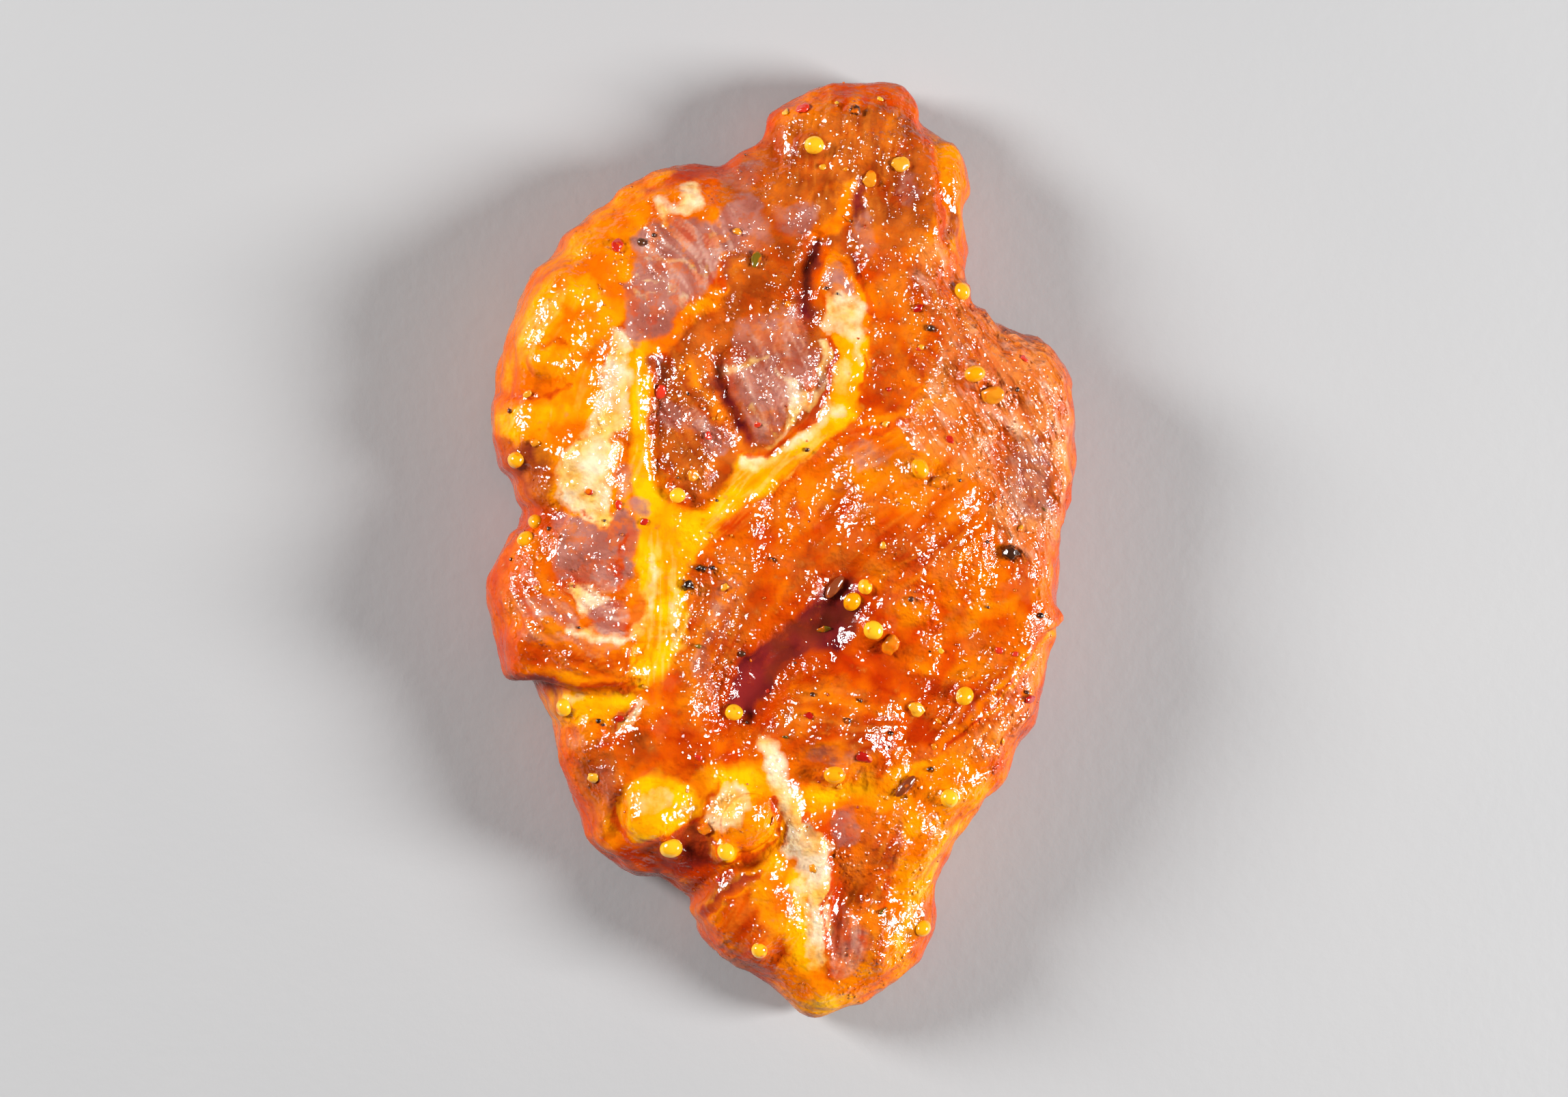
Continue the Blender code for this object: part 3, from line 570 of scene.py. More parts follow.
# muscle with hardly any marinade on it
FINISHES["mauve"] = 1.3, [
    area((-18.8, 41.4), (-15, 42.6), (-11.4, 42), (-8, 44.4), (-5.4, 46.8), (-3.4, 44), (-6.4, 40),
         (-9.6, 36.2), (-12, 33.2), (-15, 30.2), (-17.6, 27.4), (-20.6, 26.6), (-21.4, 30), (-21.2, 34),
         (-19.8, 37.4), (-20.4, 39.6)),
    area((-17, 19.6), (-14, 18.2), (-11.4, 17), (-8.2, 14.4), (-8.4, 11.8), (-10.6, 12.6), (-13, 15),
         (-17, 15.6), share=0.85),
    area((-8.6, 25.6), (-6.4, 29.4), (-1, 31.2), (2.2, 30), (1.8, 26), (1.2, 21.4), (-1.6, 16.6),
         (-4, 13.4), (-6, 16), (-8.4, 20.6), share=0.62),
    area((-6, 24.4), (-1, 25), (1, 21.4), (-1.6, 16.6), (-4, 13.4), (-6, 16), (-7.6, 20.6), share=0.8),
    blob(1.2, 42.8, 3, 2.2, share=0.75),
    blob(9.6, 41, 1.6, 2.6, share=0.7),
    blob(-6, 48.6, 2.8, 1.6, share=0.6),
    blob(15.4, 47, 1.6, 2.4, share=0.5),
    blob(-4.8, 41, 2.4, 3, share=0.6),
    area((-30.6, 4.6), (-26.5, 3.6), (-24.6, 2.6), (-23, 4.8), (-20.6, 4.2), (-20, 1.6), (-21, -1),
         (-21.4, -4), (-23, -6), (-25.4, -5.2), (-28.6, -4.8), (-30.4, -2), share=0.9),
    area((-26.2, -7.4), (-21.8, -7.6), (-21.8, -10.2), (-23.6, -10.8), (-25.8, -9.6)),
    blob(-19.2, 5.4, 1.2, 1.2, share=0.8),
    blob(-21.6, 8.8, 1.8, 2.4, share=0.5),
    band(1.8, (-35, -7.4), (-31.4, -8), (-28.4, -9.8), share=0.7),
    band(2.0, (-34, -10.6), (-29, -11.8), (-24, -12.6), share=0.45),
    blob(31.6, 9, 3, 5.4, 8, share=0.5),
    area((4.6, 36.4), (6.6, 36.8), (8.6, 34), (8, 32.6), (5.4, 32.4), share=0.8),
    area((7, 12.6), (10, 14.6), (12, 13), (14.4, 12.6), (12.4, 10.4), (10, 11), (8, 9.4), share=0.45),
    blob(7, -36.8, 1.8, 2.6, share=0.7),
    area((6.4, -46), (8.4, -47.6), (10.6, -51), (9.6, -55), (6.6, -56.4), (5.4, -53), (5.8, -49), share=0.6),
    blob(5, -26.8, 4, 1.6, share=0.4),
    blob(-9, -8, 1.8, 5, -15, share=0.35),
    blob(-11.6, -15.6, 1.4, 3.6, share=0.4),
    blob(-23.8, -31.4, 1.4, 3, share=0.5),
    blob(-28.4, -24.6, 1.2, 1.6, share=0.5),
    blob(1.4, 23, 2, 2.6, share=0.8),
]

FINISHES["cream"] = 1.7, [
    area((-22.8, 28.4), (-20.8, 27), (-20.9, 21), (-21.4, 16.4), (-23, 14.8), (-22.4, 12), (-24, 9.4),
         (-23.4, 5.4), (-24.4, 3), (-27.6, 4.4), (-30.6, 8), (-29.8, 11.6), (-27.6, 14), (-25.8, 16.4),
         (-24.6, 21), (-23.9, 25.4)),
    area((-17.8, 45.4), (-16, 44.6), (-14.4, 45), (-13.8, 47), (-12.4, 48.2), (-11, 46.6), (-11.2, 43.6),
         (-13.6, 42.8), (-15.6, 43.2), (-17.2, 42.2), share=0.8),
    area((4.5, 32.6), (6.4, 33.6), (8.6, 32.4), (9.9, 31.8), (9.3, 29.6), (10.2, 28.2), (7.6, 27),
         (6.2, 28.4), (4.9, 29), share=0.7),
    band(0.9, (6.2, 33), (6.8, 30.4), (8.4, 27.6), (8, 24.6), share=0.9),
    band(0.7, (4.9, 32.4), (4.7, 29.8), (5.3, 27.8), share=0.8),
    band(0.8, (-8.6, 23), (-5.8, 24.2), (-3.4, 25.2), share=0.7),
    band(0.7, (-5, 18.2), (-4, 17), (-2.6, 15.8), share=0.6),
    band(0.8, (-2.2, 22.6), (-0.6, 21.2), (1.2, 19.6), share=0.7),
    area((-0.4, 20), (1.6, 19.8), (2.8, 18.2), (1, 17.2), (-0.8, 15.2), (-3.2, 13), (-1.4, 15.6),
         (-0.6, 17.6), share=0.8),
    band(1.5, (3.9, 26.4), (4.2, 23.6), (3.8, 20.4), (3.2, 18.4)),
    band(1.1, (2.4, 15), (-0.6, 13), (-4, 11), (-6, 10.4)),
    band(0.8, (-20.4, 38.8), (-17.4, 37.6), (-14, 36.8), (-11.4, 36.4), share=0.5),
    band(0.7, (-11.6, 36.4), (-10.2, 38.6), (-9.6, 41), share=0.4),
    band(0.35, (-20.2, 34.6), (-18.6, 34.2), (-17.4, 34.4), share=0.8),
    band(0.35, (-20.4, 32.6), (-18.8, 32), (-17.8, 32.2), share=0.8),
    band(0.35, (-16.6, 33.6), (-14.4, 32), (-13, 31.4), share=0.6),
    blob(6.6, 22.6, 0.9, 2.4, share=0.7),
    area((4, 19), (6.6, 18.4), (4, 15.4), (1.4, 14.4), share=0.6),
    area((-29.4, -5), (-26, -5.4), (-23.6, -6.8), (-26, -8.6), (-27.4, -8.4), (-28.8, -7)),
    band(1.0, (-29.6, -9.8), (-26, -11.2), (-22.4, -11.6), (-19.8, -10), share=0.9),
    band(1.1, (-18.4, -1), (-17.8, -5), (-18.6, -9), share=0.7),
    band(0.8, (-15.8, -3), (-15.2, -8), (-16, -13), share=0.6),
    band(0.9, (-22.8, -23), (-21, -21.4), (-19.6, -20.2), share=0.9),
    area((-4.4, -25), (-3, -24), (-1.2, -26.4), (0, -29.6), (1.8, -32.4), (2.8, -35.6), (5, -38.4),
         (5.8, -42), (5.4, -45.6), (5.6, -49), (4.6, -52.6), (3, -51), (2, -47.6), (2.2, -44), (1, -41),
         (-1.2, -40), (-0.8, -37.4), (-1.4, -34.6), (-2.2, -31), (-3.6, -28), share=0.84),
    area((1.6, -40), (4, -40), (5, -46), (4.8, -53), (2.6, -53.6), (0.6, -47), (0, -42.6), share=0.45),
    blob(-8, -33.4, 2.2, 2.8, -20, share=0.9),
    blob(-18.6, -32.4, 3.2, 1.5, 14, share=0.52),
    blob(-28.4, -19.6, 1.8, 0.8, share=0.4),
    band(0.8, (35.4, -25.4), (30.6, -29.6), (26.6, -33.4), (22.8, -38.4), share=0.7),
]

# thin bright red marinade, in lines beside folds and round lumps, which also paints shade into the creases
# and under the lumps
FINISHES["red"] = 0.7, [
    band(0.9, (5, 27.4), (5.2, 24), (4.6, 20.6), (3.6, 18.4), (2.8, 16.6)),
    band(0.6, (2.8, 16.6), (0, 15), (-2.6, 12.6), (-5, 11.4), (-6.6, 12)),
    band(0.7, (8.5, 38.4), (9.1, 36.4), (9.6, 34.2), (10.3, 31)),
    band(0.5, (9.2, 25.2), (9.8, 22.6), (9.4, 20)),
    band(0.7, (5.8, 14.6), (9, 15.2), (12, 15.6), (15.4, 16.8)),
    band(0.8, (-34, -16.4), (-30.6, -17.4), (-26, -18), (-21.6, -18), (-20.4, -17.4)),
    band(0.7, (-2, -32.6), (-2.1, -35.4), (-3.2, -38.4), (-5.4, -39.7), (-7.2, -40.5), (-8.8, -40.2),
         (-9.6, -38.6), (-10.2, -36.4)),
    band(0.6, (-10.4, -36.6), (-10.7, -33.4), (-9.6, -30.8), share=0.8),
    band(0.8, (-22.8, -34.4), (-22, -37.6), (-19.4, -38.4), (-16.8, -36.9), (-13.4, -35.8), (-11, -35)),
    band(1.2, (-11.4, -49.4), (-9.6, -46.4), (-7.2, -43.8), (-4.6, -42.2)),
    band(0.6, (5.7, -40), (5.8, -43), (4.9, -46), (4.6, -49.6), (5, -52.4)),
    band(0.6, (6.6, -44), (6.3, -46.2), (7, -48.4)),
    blob(2.6, -34.7, 0.9, 0.9),
    band(0.5, (-23.2, -23.4), (-21.6, -21.6), (-20.2, -20.2)),
    band(0.5, (-29.4, 5.2), (-26.6, 4.4), (-24.6, 3), share=0.8),
    band(0.5, (-22, 1.6), (-22.7, -2.2), (-22.5, -5.6)),
    band(0.6, (-31, 3), (-30.4, -1.4), (-31.4, -4), share=0.6),
    band(0.5, (-19, -12), (-19.8, -14.8), (-22, -16.4), share=0.7),
    band(0.6, (31, -14.4), (27.4, -18.8), (24, -22.6), (19.6, -26.4)),
    band(0.5, (17.6, 24), (15.2, 20.4), (12.6, 18), share=0.7),
    band(0.6, (0, -13.4), (4, -14.4), (8, -14.2), (12, -16.6), share=0.8),
    band(0.6, (-8.4, 36.6), (-9.6, 34.6), (-9.2, 32.6)),
    band(0.5, (17.2, 58), (18.4, 53), (19.5, 47), (20, 42)),
    band(0.5, (-36, 19.8), (-32, 20), (-29, 20.6), share=0.8),
    band(0.5, (-34.6, 26), (-31.6, 26.6), (-29, 25.2), (-28.6, 22.6), share=0.7),
]

# dark red marinade that has run together
FINISHES["sauce"] = 1.4, [
    area((-8, -16.8), (-6, -14), (-3, -12.2), (0, -9.8), (3, -7), (5.6, -4.6), (8, -5), (8.8, -7.6),
         (8.2, -11.4), (5.4, -13), (1, -14), (-1.6, -16.4), (-3.4, -19.6), (-6, -21.4), (-8, -20)),
    # painted shadow under the left end of the flap's lip
    band(2.4, (-35, -17.6), (-31.6, -18), (-31, -21)),
    band(1.6, (3.4, 39.6), (2.2, 36.6), (1.8, 32.6), (2.4, 29.6)),
    band(1.1, (-9.6, 21.8), (-8.2, 18.8), (-6.9, 16.3), (-5.7, 14)),
    band(1.3, (-17.6, 24.6), (-16.8, 22), (-16.6, 20.4), share=0.8),
    band(1.2, (8.8, 48), (8.7, 45.4), (9, 43.6), share=0.9),
    band(0.8, (7.8, 38.6), (8.5, 37.2), (8.9, 36), share=0.9),
    band(0.8, (-6.8, 38.4), (-8, 36.6), (-8.8, 34.8), share=0.8),
    blob(-35.6, 9.4, 3, 3, share=0.45),
    blob(-33, 12, 2, 1.4, -40, share=0.6),
    blob(-37, 4.4, 3, 1.6),
    band(1.8, (-12, -49.4), (-8.6, -43.8), (-5.4, -42.8), share=0.6),
    blob(21.4, 42.2, 1.2, 1.6, share=0.7),
    blob(31.4, -24.6, 0.8, 2.4, -35, share=0.7),
    area((-16, -36.6), (-12.4, -35.6), (-9.8, -37), (-10, -41), (-15, -42.4), (-19, -41), share=0.55),
    blob(2.6, -36.4, 0.8, 0.8, share=0.6),
    blob(31.6, 9, 3.4, 5.8, 8, share=0.4),
    band(2.4, (13.4, -49), (17, -50), (19, -47.6), share=0.4),
]

# where the marinade stands in drops that glint
FINISHES["beads"] = 2.4, [
    area((-14, 0), (-9, 1), (-6, -4), (-5, -11), (-8, -18), (-13, -22), (-15, -14)),
    area((17, 40), (26, 32), (36, 25), (37, 6), (30, 0), (20, 12), (16, 18), (19, 28)),
    area((-10, 48), (2, 50), (4, 42), (0, 34), (3, 26), (-8, 30), (-10, 38), share=0.9),
    area((6, 56), (16, 58), (18, 46), (12, 42), (9, 48)),
    area((10, 42), (18, 40), (18, 24), (10, 22), share=0.8),
    area((-18, 25), (-10, 26), (-8, 12), (-12, 6), (-17, 10), share=0.9),
    area((-27, 40), (-20, 40), (-16, 30), (-24, 26), (-30, 34), share=0.7),
    area((5, -32), (14, -30), (24, -32), (21, -42), (18, -52), (12, -60), (5, -58), (6.6, -46), (6, -40)),
    area((16, -16), (34, -12), (30, -28), (20, -38), (12, -34), (20, -24)),
    area((-30, -18), (-20, -22), (-21, -30), (-27, -32), share=0.8),
    blob(-6, -34, 4, 4, share=0.7),
    blob(18, -2, 9, 8, share=0.6),
    blob(11, 7, 5, 4, share=0.7),
    blob(-29, -10, 8, 4, share=0.6),
    blob(-31, 0, 4, 6, share=0.7),
]

# Fibres and wrinkles: oval (x, y, half-widths, turn), the way they run, their spacing and height
FIBRES = [
    (-2.4, 23, 6, 10, -12, -58, 1.3, 0.16),
    (-13.2, 18, 4.4, 11, 8, -55, 1.3, 0.2),
    (-13, 39, 7, 9, -30, -64, 1.5, 0.1),
    (8, 51, 11, 11, 0, 78, 1.2, 0.14),
    (28, 24, 13, 14, 0, -62, 1.7, 0.2),
    (21, 36, 6, 10, 20, -66, 1.6, 0.2),
    (32, 4, 6, 13, 0, -80, 1.8, 0.2),
    (14, 5, 14, 14, 0, 38, 2.1, 0.12),
    (6, -23, 9, 6, 0, 4, 1.3, 0.12),
    (26, -22, 10, 9, 0, 52, 1.4, 0.24),
    (18, -36, 9, 12, 0, 62, 1.5, 0.2),
    (10, -51, 8, 10, 0, 78, 1.4, 0.16),
    (-5, -48, 8, 9, 0, 60, 1.6, 0.12),
    (-11, -11, 6, 8, 0, 66, 1.4, 0.18),
    (-3, 9, 14, 4, 44, 43, 1.1, 0.08),
    (-17.5, -8, 4, 13, 0, 86, 1.1, 0.08),
    (-22, 17, 4, 14, 0, 84, 1.3, 0.08),
    (-31, 24, 7, 15, -18, 66, 1.8, 0.1),
]
BENT_FIBRES = [(-27, -10, 13, 8, -15, (-18, 4), 1.7, 0.26)]  # with the point that they bend round
BEND_RADIUS = 12.0  # at which they are as long as they would be if straight
FIBRE_SEED, BENT_SEED, SWEEP_SEED = 40, 90, 100  # what the seeds of their noise start from

FRAYS = [(4.5, 0.9), (1.9, 0.6), (0.9, 0.32)]  # how wide and how far painted edges stray, layer by layer
PATCH_MARGIN = 4.0  # how far outside a patch is surely clear of it
CREASE_REACH = 4.0  # how far beside a groove the painted shade of its crease reaches
DARK_DEPTH = 1.6  # of a groove whose painted shade is as dark as any
FINE_SLOPE, FINE_HEIGHT = 0.25, 3.0  # the mesh is finer where it points this much up, above this height
FINE_STEPS, BROAD_STEPS = 14, 80  # steps of smoothing that find the small and the large hollows
COLLAR_RADIUS, COLLAR_HEIGHT = 0.62, 0.7  # of the marinade round a mustard seed: a share of it, and height
FOOT = (0.5, 3.0)  # heights between which the finest relief sets in


def depth_inside(plan, patch):
    """How far inside a patch each plan point is, in millimetres, and below 0 outside."""
    if "oval" in patch:
        return (1 - np.hypot(*in_oval(plan, *patch["oval"]))) * min(patch["oval"][2:4])
    corners = patch.get("ring", patch.get("line"))
    depth = np.full(len(plan), -PATCH_MARGIN)
    close = near(plan, corners, PATCH_MARGIN + patch.get("half", 0))
    distance = beside(plan[close], corners)[0]
    if "line" in patch:
        depth[close] = patch["half"] - distance
        return depth
    x, y = plan[close].T
    inside = np.zeros(len(x), bool)
    for (x1, y1), (x2, y2) in zip(corners[:-1], corners[1:]):
        if y1 != y2:
            inside ^= ((y1 > y) != (y2 > y)) & (x < (x2 - x1) * (y - y1) / (y2 - y1) + x1)
    depth[close] = np.where(inside, distance, -distance)
    return depth


def finish_mask(plan, name):
    """How strongly a finish shows at each plan point, from 0 to 1."""
    softness, patches = FINISHES[name]
    mask = np.zeros(len(plan))
    for patch in patches:
        inside = smoothstep(-0.5 * softness, 0.5 * softness, depth_inside(plan, patch))
        mask = np.maximum(mask, patch["share"] * inside)
    return mask


def frayed(place):
    """Plan points moved about, so that the edges of what is painted there fray."""
    plan = place[:, :2].copy()
    for i, (size, reach) in enumerate(FRAYS):
        plan += reach * wobble(place * (1, 1, 0.5), size, 21 + 2 * i)
    return plan


def drawn_out(across, along, shift, finer, seed):
    """Noise from about -1 to 1, with a second layer that is finer by the three factors given."""
    place = np.column_stack([across, along, np.full(len(across), shift * seed)])
    return noise(place, 1.0, seed) + 0.5 * noise(place * finer, 1.0, seed + 1)


def stripes(across, along, spacing, seed):
    """Long thin ridges that run along, from -1 to 1."""
    fine = drawn_out(across / spacing, along / (9 * spacing), 0.37, (2.1, 2.6, 1), seed)
    return 1 - 2 * np.abs(np.clip(fine, -1, 1)) ** 0.8


def sweep(across, along, spacing, seed):
    """Broad soft streaks that run along, from about -1 to 1."""
    return drawn_out(across / (2.6 * spacing), along / (11 * spacing), 0.41, (2.2, 2.2, 1), seed)


def combed(plan, way):
    """How far plan points are across and along fibres that run a way in degrees, or bend round a point."""
    if isinstance(way, tuple):
        out = plan - way
        return np.hypot(*out.T), np.arctan2(out[:, 1], out[:, 0]) * BEND_RADIUS
    c, s = math.cos(math.radians(way)), math.sin(math.radians(way))
    return plan @ (-s, c), plan @ (c, s)


def fibre_relief(place):
    """Height of the fibres and wrinkles at points in millimetres, and fine streaks and broad sweeps along
    them, from -1 to 1."""
    plan = place[:, :2] + wobble(place, 9, 31)
    total, streaks, sweeps = np.zeros(len(plan)), np.zeros(len(plan)), np.zeros(len(plan))
    straight = [(*row, FIBRE_SEED + 2 * i) for i, row in enumerate(FIBRES)]
    bent = [(*row, BENT_SEED + 2 * i) for i, row in enumerate(BENT_FIBRES)]
    for *oval, way, spacing, rise, seed in straight + bent:
        share = 1 - smoothstep(0.6, 1.1, np.hypot(*in_oval(plan, *oval)))
        here = share > 0
        across, along = combed(plan[here], way)
        lines = share[here] * stripes(across, along, spacing, seed)
        total[here] += rise * lines
        streaks[here] += lines
        sweeps[here] += share[here] * sweep(across, along, spacing, seed + SWEEP_SEED)
    return total, streaks, sweeps


def hollowness(mesh, height, steps):
    """How far each point of the mesh lies below its surroundings, in millimetres, and below 0 on ridges. More
    steps look further round."""
    ends = np.empty(len(mesh.edges) * 2, np.int64)
    mesh.edges.foreach_get("vertices", ends)
    a, b = ends.reshape(-1, 2).T
    count = np.bincount(ends, minlength=len(height))
    level = height
    for _ in range(steps):
        around = np.bincount(a, level[b], len(height)) + np.bincount(b, level[a], len(height))
        level = 0.4 * level + 0.6 * around / count
    return level - height


def creases(place):
    """How deep in a crease each point lies, from 0 to 1."""
    plan = wandered(place[:, :2])
    dark = np.zeros(len(plan))
    for mark in GROOVES:
        inside = near(plan, mark["line"], CREASE_REACH)
        distance, _, share, _ = beside(plan[inside], mark["line"])
        here = np.exp(-((distance / (0.9 * mark["width"])) ** 2)) * fading_ends(share, 0.2)
        here *= min(1, mark["depth"] / DARK_DEPTH)
        dark[inside] = np.maximum(dark[inside], here)
    return dark


# ---------------------------------------------------------------- the slice

def numbers_on(mesh, name, values):
    """Keeps a number on each of the mesh's points."""
    mesh.attributes.new(name, "FLOAT", "POINT").data.foreach_set("value", values.astype(np.float32))


def refine_face(mesh):
    """Halves the spacing of the mesh where it faces up."""
    fine = bmesh.new()
    fine.from_mesh(mesh)
    upward = {
        face for face in fine.faces
        if face.normal.z > FINE_SLOPE and face.calc_center_median().z > FINE_HEIGHT
    }
    edges = [edge for edge in fine.edges if all(face in upward for face in edge.link_faces)]
    bmesh.ops.subdivide_edges(fine, edges=edges, cuts=1, use_grid_fill=True)
    fine.to_mesh(mesh)
    fine.free()


def painted(place, up):
    """How strongly each finish shows at each point. up is the upward part of the normal there."""
    plan = frayed(place)
    tone = {name: finish_mask(plan, name) for name in FINISHES}
    for name in ("brown", "mauve", "cream"):  # these go through the meat, and fade on its sides
        tone[name] *= 0.25 + 0.75 * smoothstep(0.15, 0.65, np.abs(up))
    for name in ("skin", "red", "sauce"):  # these lie on the face alone
        tone[name] *= 0.2 + 0.8 * smoothstep(0.15, 0.65, up)
    return tone


def fine_height(mesh, place, up, tone, fibres):
    """How far the finest relief rises at each point, in millimetres, given its finishes and its fibres."""
    plan, facing = wandered(place[:, :2]), smoothstep(0.2, 0.6, up)
    smooth = np.clip(0.9 * tone["sauce"] + 0.5 * tone["yellow"], 0, 1)
    height = 0.3 * noise(place, 3.4, 50) + (0.08 + 0.08 * tone["beads"]) * noise(place, 1.6, 51)
    height = height * (1 - 0.6 * smooth) + fibres * (1 - 0.85 * np.maximum(tone["sauce"], 0.6 * tone["fat"]))
    height += 0.1 * tone["cream"] * np.abs(noise(place, 2.2, 53))
    for row in DOMES:
        height += swell(plan, *row) * facing
    for x, y, size in MUSTARD:
        reach = np.hypot(place[:, 0] - x, place[:, 1] - y) / (COLLAR_RADIUS * size * MUSTARD_SEED)
        height += COLLAR_HEIGHT * np.exp(-(reach**3))
    deep = np.clip(hollowness(mesh, place[:, 2], BROAD_STEPS) - 0.2, 0, 2) * facing
    height += 0.9 * deep * np.maximum(tone["sauce"], creases(place))  # marinade fills what lies deepest
    sides = 1 - smoothstep(0.3, 0.8, up)
    height += sides * (0.5 * noise(place, 5, 54) + 0.12 * noise(place * (1, 1, 1.6), 2, 55))
    return height * smoothstep(*FOOT, place[:, 2])


def detail(mesh):
    """Raises the finest relief from the face, and keeps what each point is made of and its painted shading.
    """
    place, normal = vertex_vectors(mesh, "co"), vertex_vectors(mesh, "normal")
    tone = painted(place, normal[:, 2])
    fibres, streaks, sweeps = fibre_relief(place)
    place = place + normal * fine_height(mesh, place, normal[:, 2], tone, fibres)[:, None]
    move_vertices(mesh, place)
    hollow = hollowness(mesh, place[:, 2], FINE_STEPS) * smoothstep(0.5, 0.9, normal[:, 2])
    steep = 1 - smoothstep(0.25, 0.9, vertex_vectors(mesh, "normal")[:, 2])
    # painted shade: darker in creases and hollows, where marinade also pools, and on the steep sides
    pooled_and_shaded = np.maximum(creases(place), 1.2 * smoothstep(0.03, 0.4, hollow)) + 0.3 * steep
    made_of_and_shading = {
        **tone,
        "pooled_and_shaded": np.clip(pooled_and_shaded, 0, 1),
        "raised": smoothstep(0.0, 0.3, -hollow),
        # painted light: points that stand above their surroundings, to be tinted lighter
        "side": steep,
        "fibre": np.clip(0.5 + 0.5 * streaks, 0, 1),
        "sweep": np.clip(0.5 + 0.5 * sweeps, 0, 1),
    }
    for name, values in made_of_and_shading.items():
        numbers_on(mesh, name, values)


def marinated_slice():
    """The slice at its finest, in millimetres."""
    steak = slab()
    even_out(steak, BLANK_SPACING)
    shape(steak.data)
    even_out(steak, SPACING)
    refine_face(steak.data)
    detail(steak.data)
    steak.data.shade_smooth()
    return steak


# ---------------------------------------------------------------- materials

class Nodes:
    """Builds a node tree. Inputs are given by name or number."""

    def __init__(self, tree):
        self.tree = tree
        tree.nodes.clear()

    def add(self, kind, inputs=(), **settings):
        """Adds a node with its settings, and gives its inputs values or joins them to other nodes."""
        node = self.tree.nodes.new(kind)
        for name, value in settings.items():
            setattr(node, name, value)
        for name, value in dict(inputs).items():
            if isinstance(value, bpy.types.NodeSocket):
                self.tree.links.new(value, node.inputs[name])
            else:
                node.inputs[name].default_value = value
        return node

    def out(self, kind, inputs=(), output=0, **settings):
        """Adds a node, for one of its outputs."""
        return self.add(kind, inputs, **settings).outputs[output]

    def maths(self, operation, a, b):
        return self.out("ShaderNodeMath", {0: a, 1: b}, operation=operation)

    def plus(self, a, b):
        return self.maths("ADD", a, b)

    def times(self, a, b):
        return self.maths("MULTIPLY", a, b)

    def scaled(self, vector, factor):
        return self.out("ShaderNodeVectorMath", {0: vector, "Scale": factor}, operation="SCALE")

    def mix(self, share, a, b):
        """Colour a where share is 0, and b where it is 1."""
        return self.out("ShaderNodeMix", {0: share, 6: a, 7: b}, 2, data_type="RGBA")

    def spread(self, value, low, high, to_low=0.0, to_high=1.0):
        """Stretches low to high over to_low to to_high, and stops there."""
        inputs = {"Value": value, "From Min": low, "From Max": high, "To Min": to_low, "To Max": to_high}
        return self.out("ShaderNodeMapRange", inputs)

    def tinted(self, colour, value, low, high, most, towards):
        """The colour turned towards another, by up to most of the way as the value goes from low to high."""
        return self.mix(self.spread(value, low, high, 0.0, most), colour, srgb(*towards))

    def cloud(self, place, size, detail=3.0, roughness=0.55):
        """Noise from 0 to 1 with lumps of the given size in millimetres."""
        inputs = {"Vector": place, "Scale": 1 / size, "Detail": detail, "Roughness": roughness}
        return self.out("ShaderNodeTexNoise", inputs)

    def beads(self, place, size):
        """Round beads of the given size in millimetres, each of its own height, from 0 to 1."""
        cells = self.add("ShaderNodeTexVoronoi", {"Vector": place, "Scale": 1 / size}).outputs
        tall = self.out("ShaderNodeSeparateColor", {0: cells["Color"]})
        domes = {"Value": cells["Distance"], "From Min": 0.5, "From Max": 0.0}
        return self.times(self.out("ShaderNodeMapRange", domes, interpolation_type="SMOOTHSTEP"), tall)

    def stretched(self, place, turn, across, along):
        """Noise from 0 to 1 in long lumps, drawn out along the direction turn, in degrees."""
        rotation, scale = (0, 0, -math.radians(turn)), (1 / along, 1 / across, 1 / across)
        turned = self.out("ShaderNodeMapping", {"Vector": place, "Rotation": rotation})
        sized = self.out("ShaderNodeMapping", {"Vector": turned, "Scale": scale})
        return self.out("ShaderNodeTexNoise", {"Vector": sized, "Scale": 1.0, "Detail": 2.0})

    def bump(self, height, distance):
        """The normal over heights that are given in units of the distance."""
        return self.out("ShaderNodeBump", {"Height": height, "Distance": distance, "Strength": 1.0})

    def attribute(self, name):
        return self.out("ShaderNodeAttribute", output="Fac", attribute_name=name)

    def millimetres(self):
        """The place on the piece, in millimetres."""
        return self.scaled(self.out("ShaderNodeTexCoord", output="Object"), 1 / MM)


def srgb(red, green, blue):
    """A colour given as it looks on a screen, 0 to 255, as the light it stands for."""
    light = [((c / 255 + 0.055) / 1.055) ** 2.4 if c > 10 else c / 255 / 12.92 for c in (red, green, blue)]
    return (*light, 1.0)


def shader_of(nodes, base, normal, **uniform):
    """A Principled BSDF with its own even settings, joined to the output."""
    inputs = {name.replace("_", " "): value for name, value in uniform.items()}
    shader = nodes.add("ShaderNodeBsdfPrincipled", {**inputs, "Base Color": base, "Normal": normal})
    nodes.add("ShaderNodeOutputMaterial", {"Surface": shader.outputs[0]})


def new_material(name):
    made = bpy.data.materials.new(name)
    made.use_nodes = True
    return made, Nodes(made.node_tree)


def new_group(name, kind, inputs, outputs):
    """A node group with the named inputs and outputs, each with its kind of socket."""
    group = bpy.data.node_groups.new(name, kind)
    for way, sockets in (("INPUT", inputs), ("OUTPUT", outputs)):
        for label, socket in sockets.items():
            group.interface.new_socket(label, in_out=way, socket_type=f"NodeSocket{socket}")
    nodes = Nodes(group)
    return group, nodes, nodes.add("NodeGroupInput").outputs


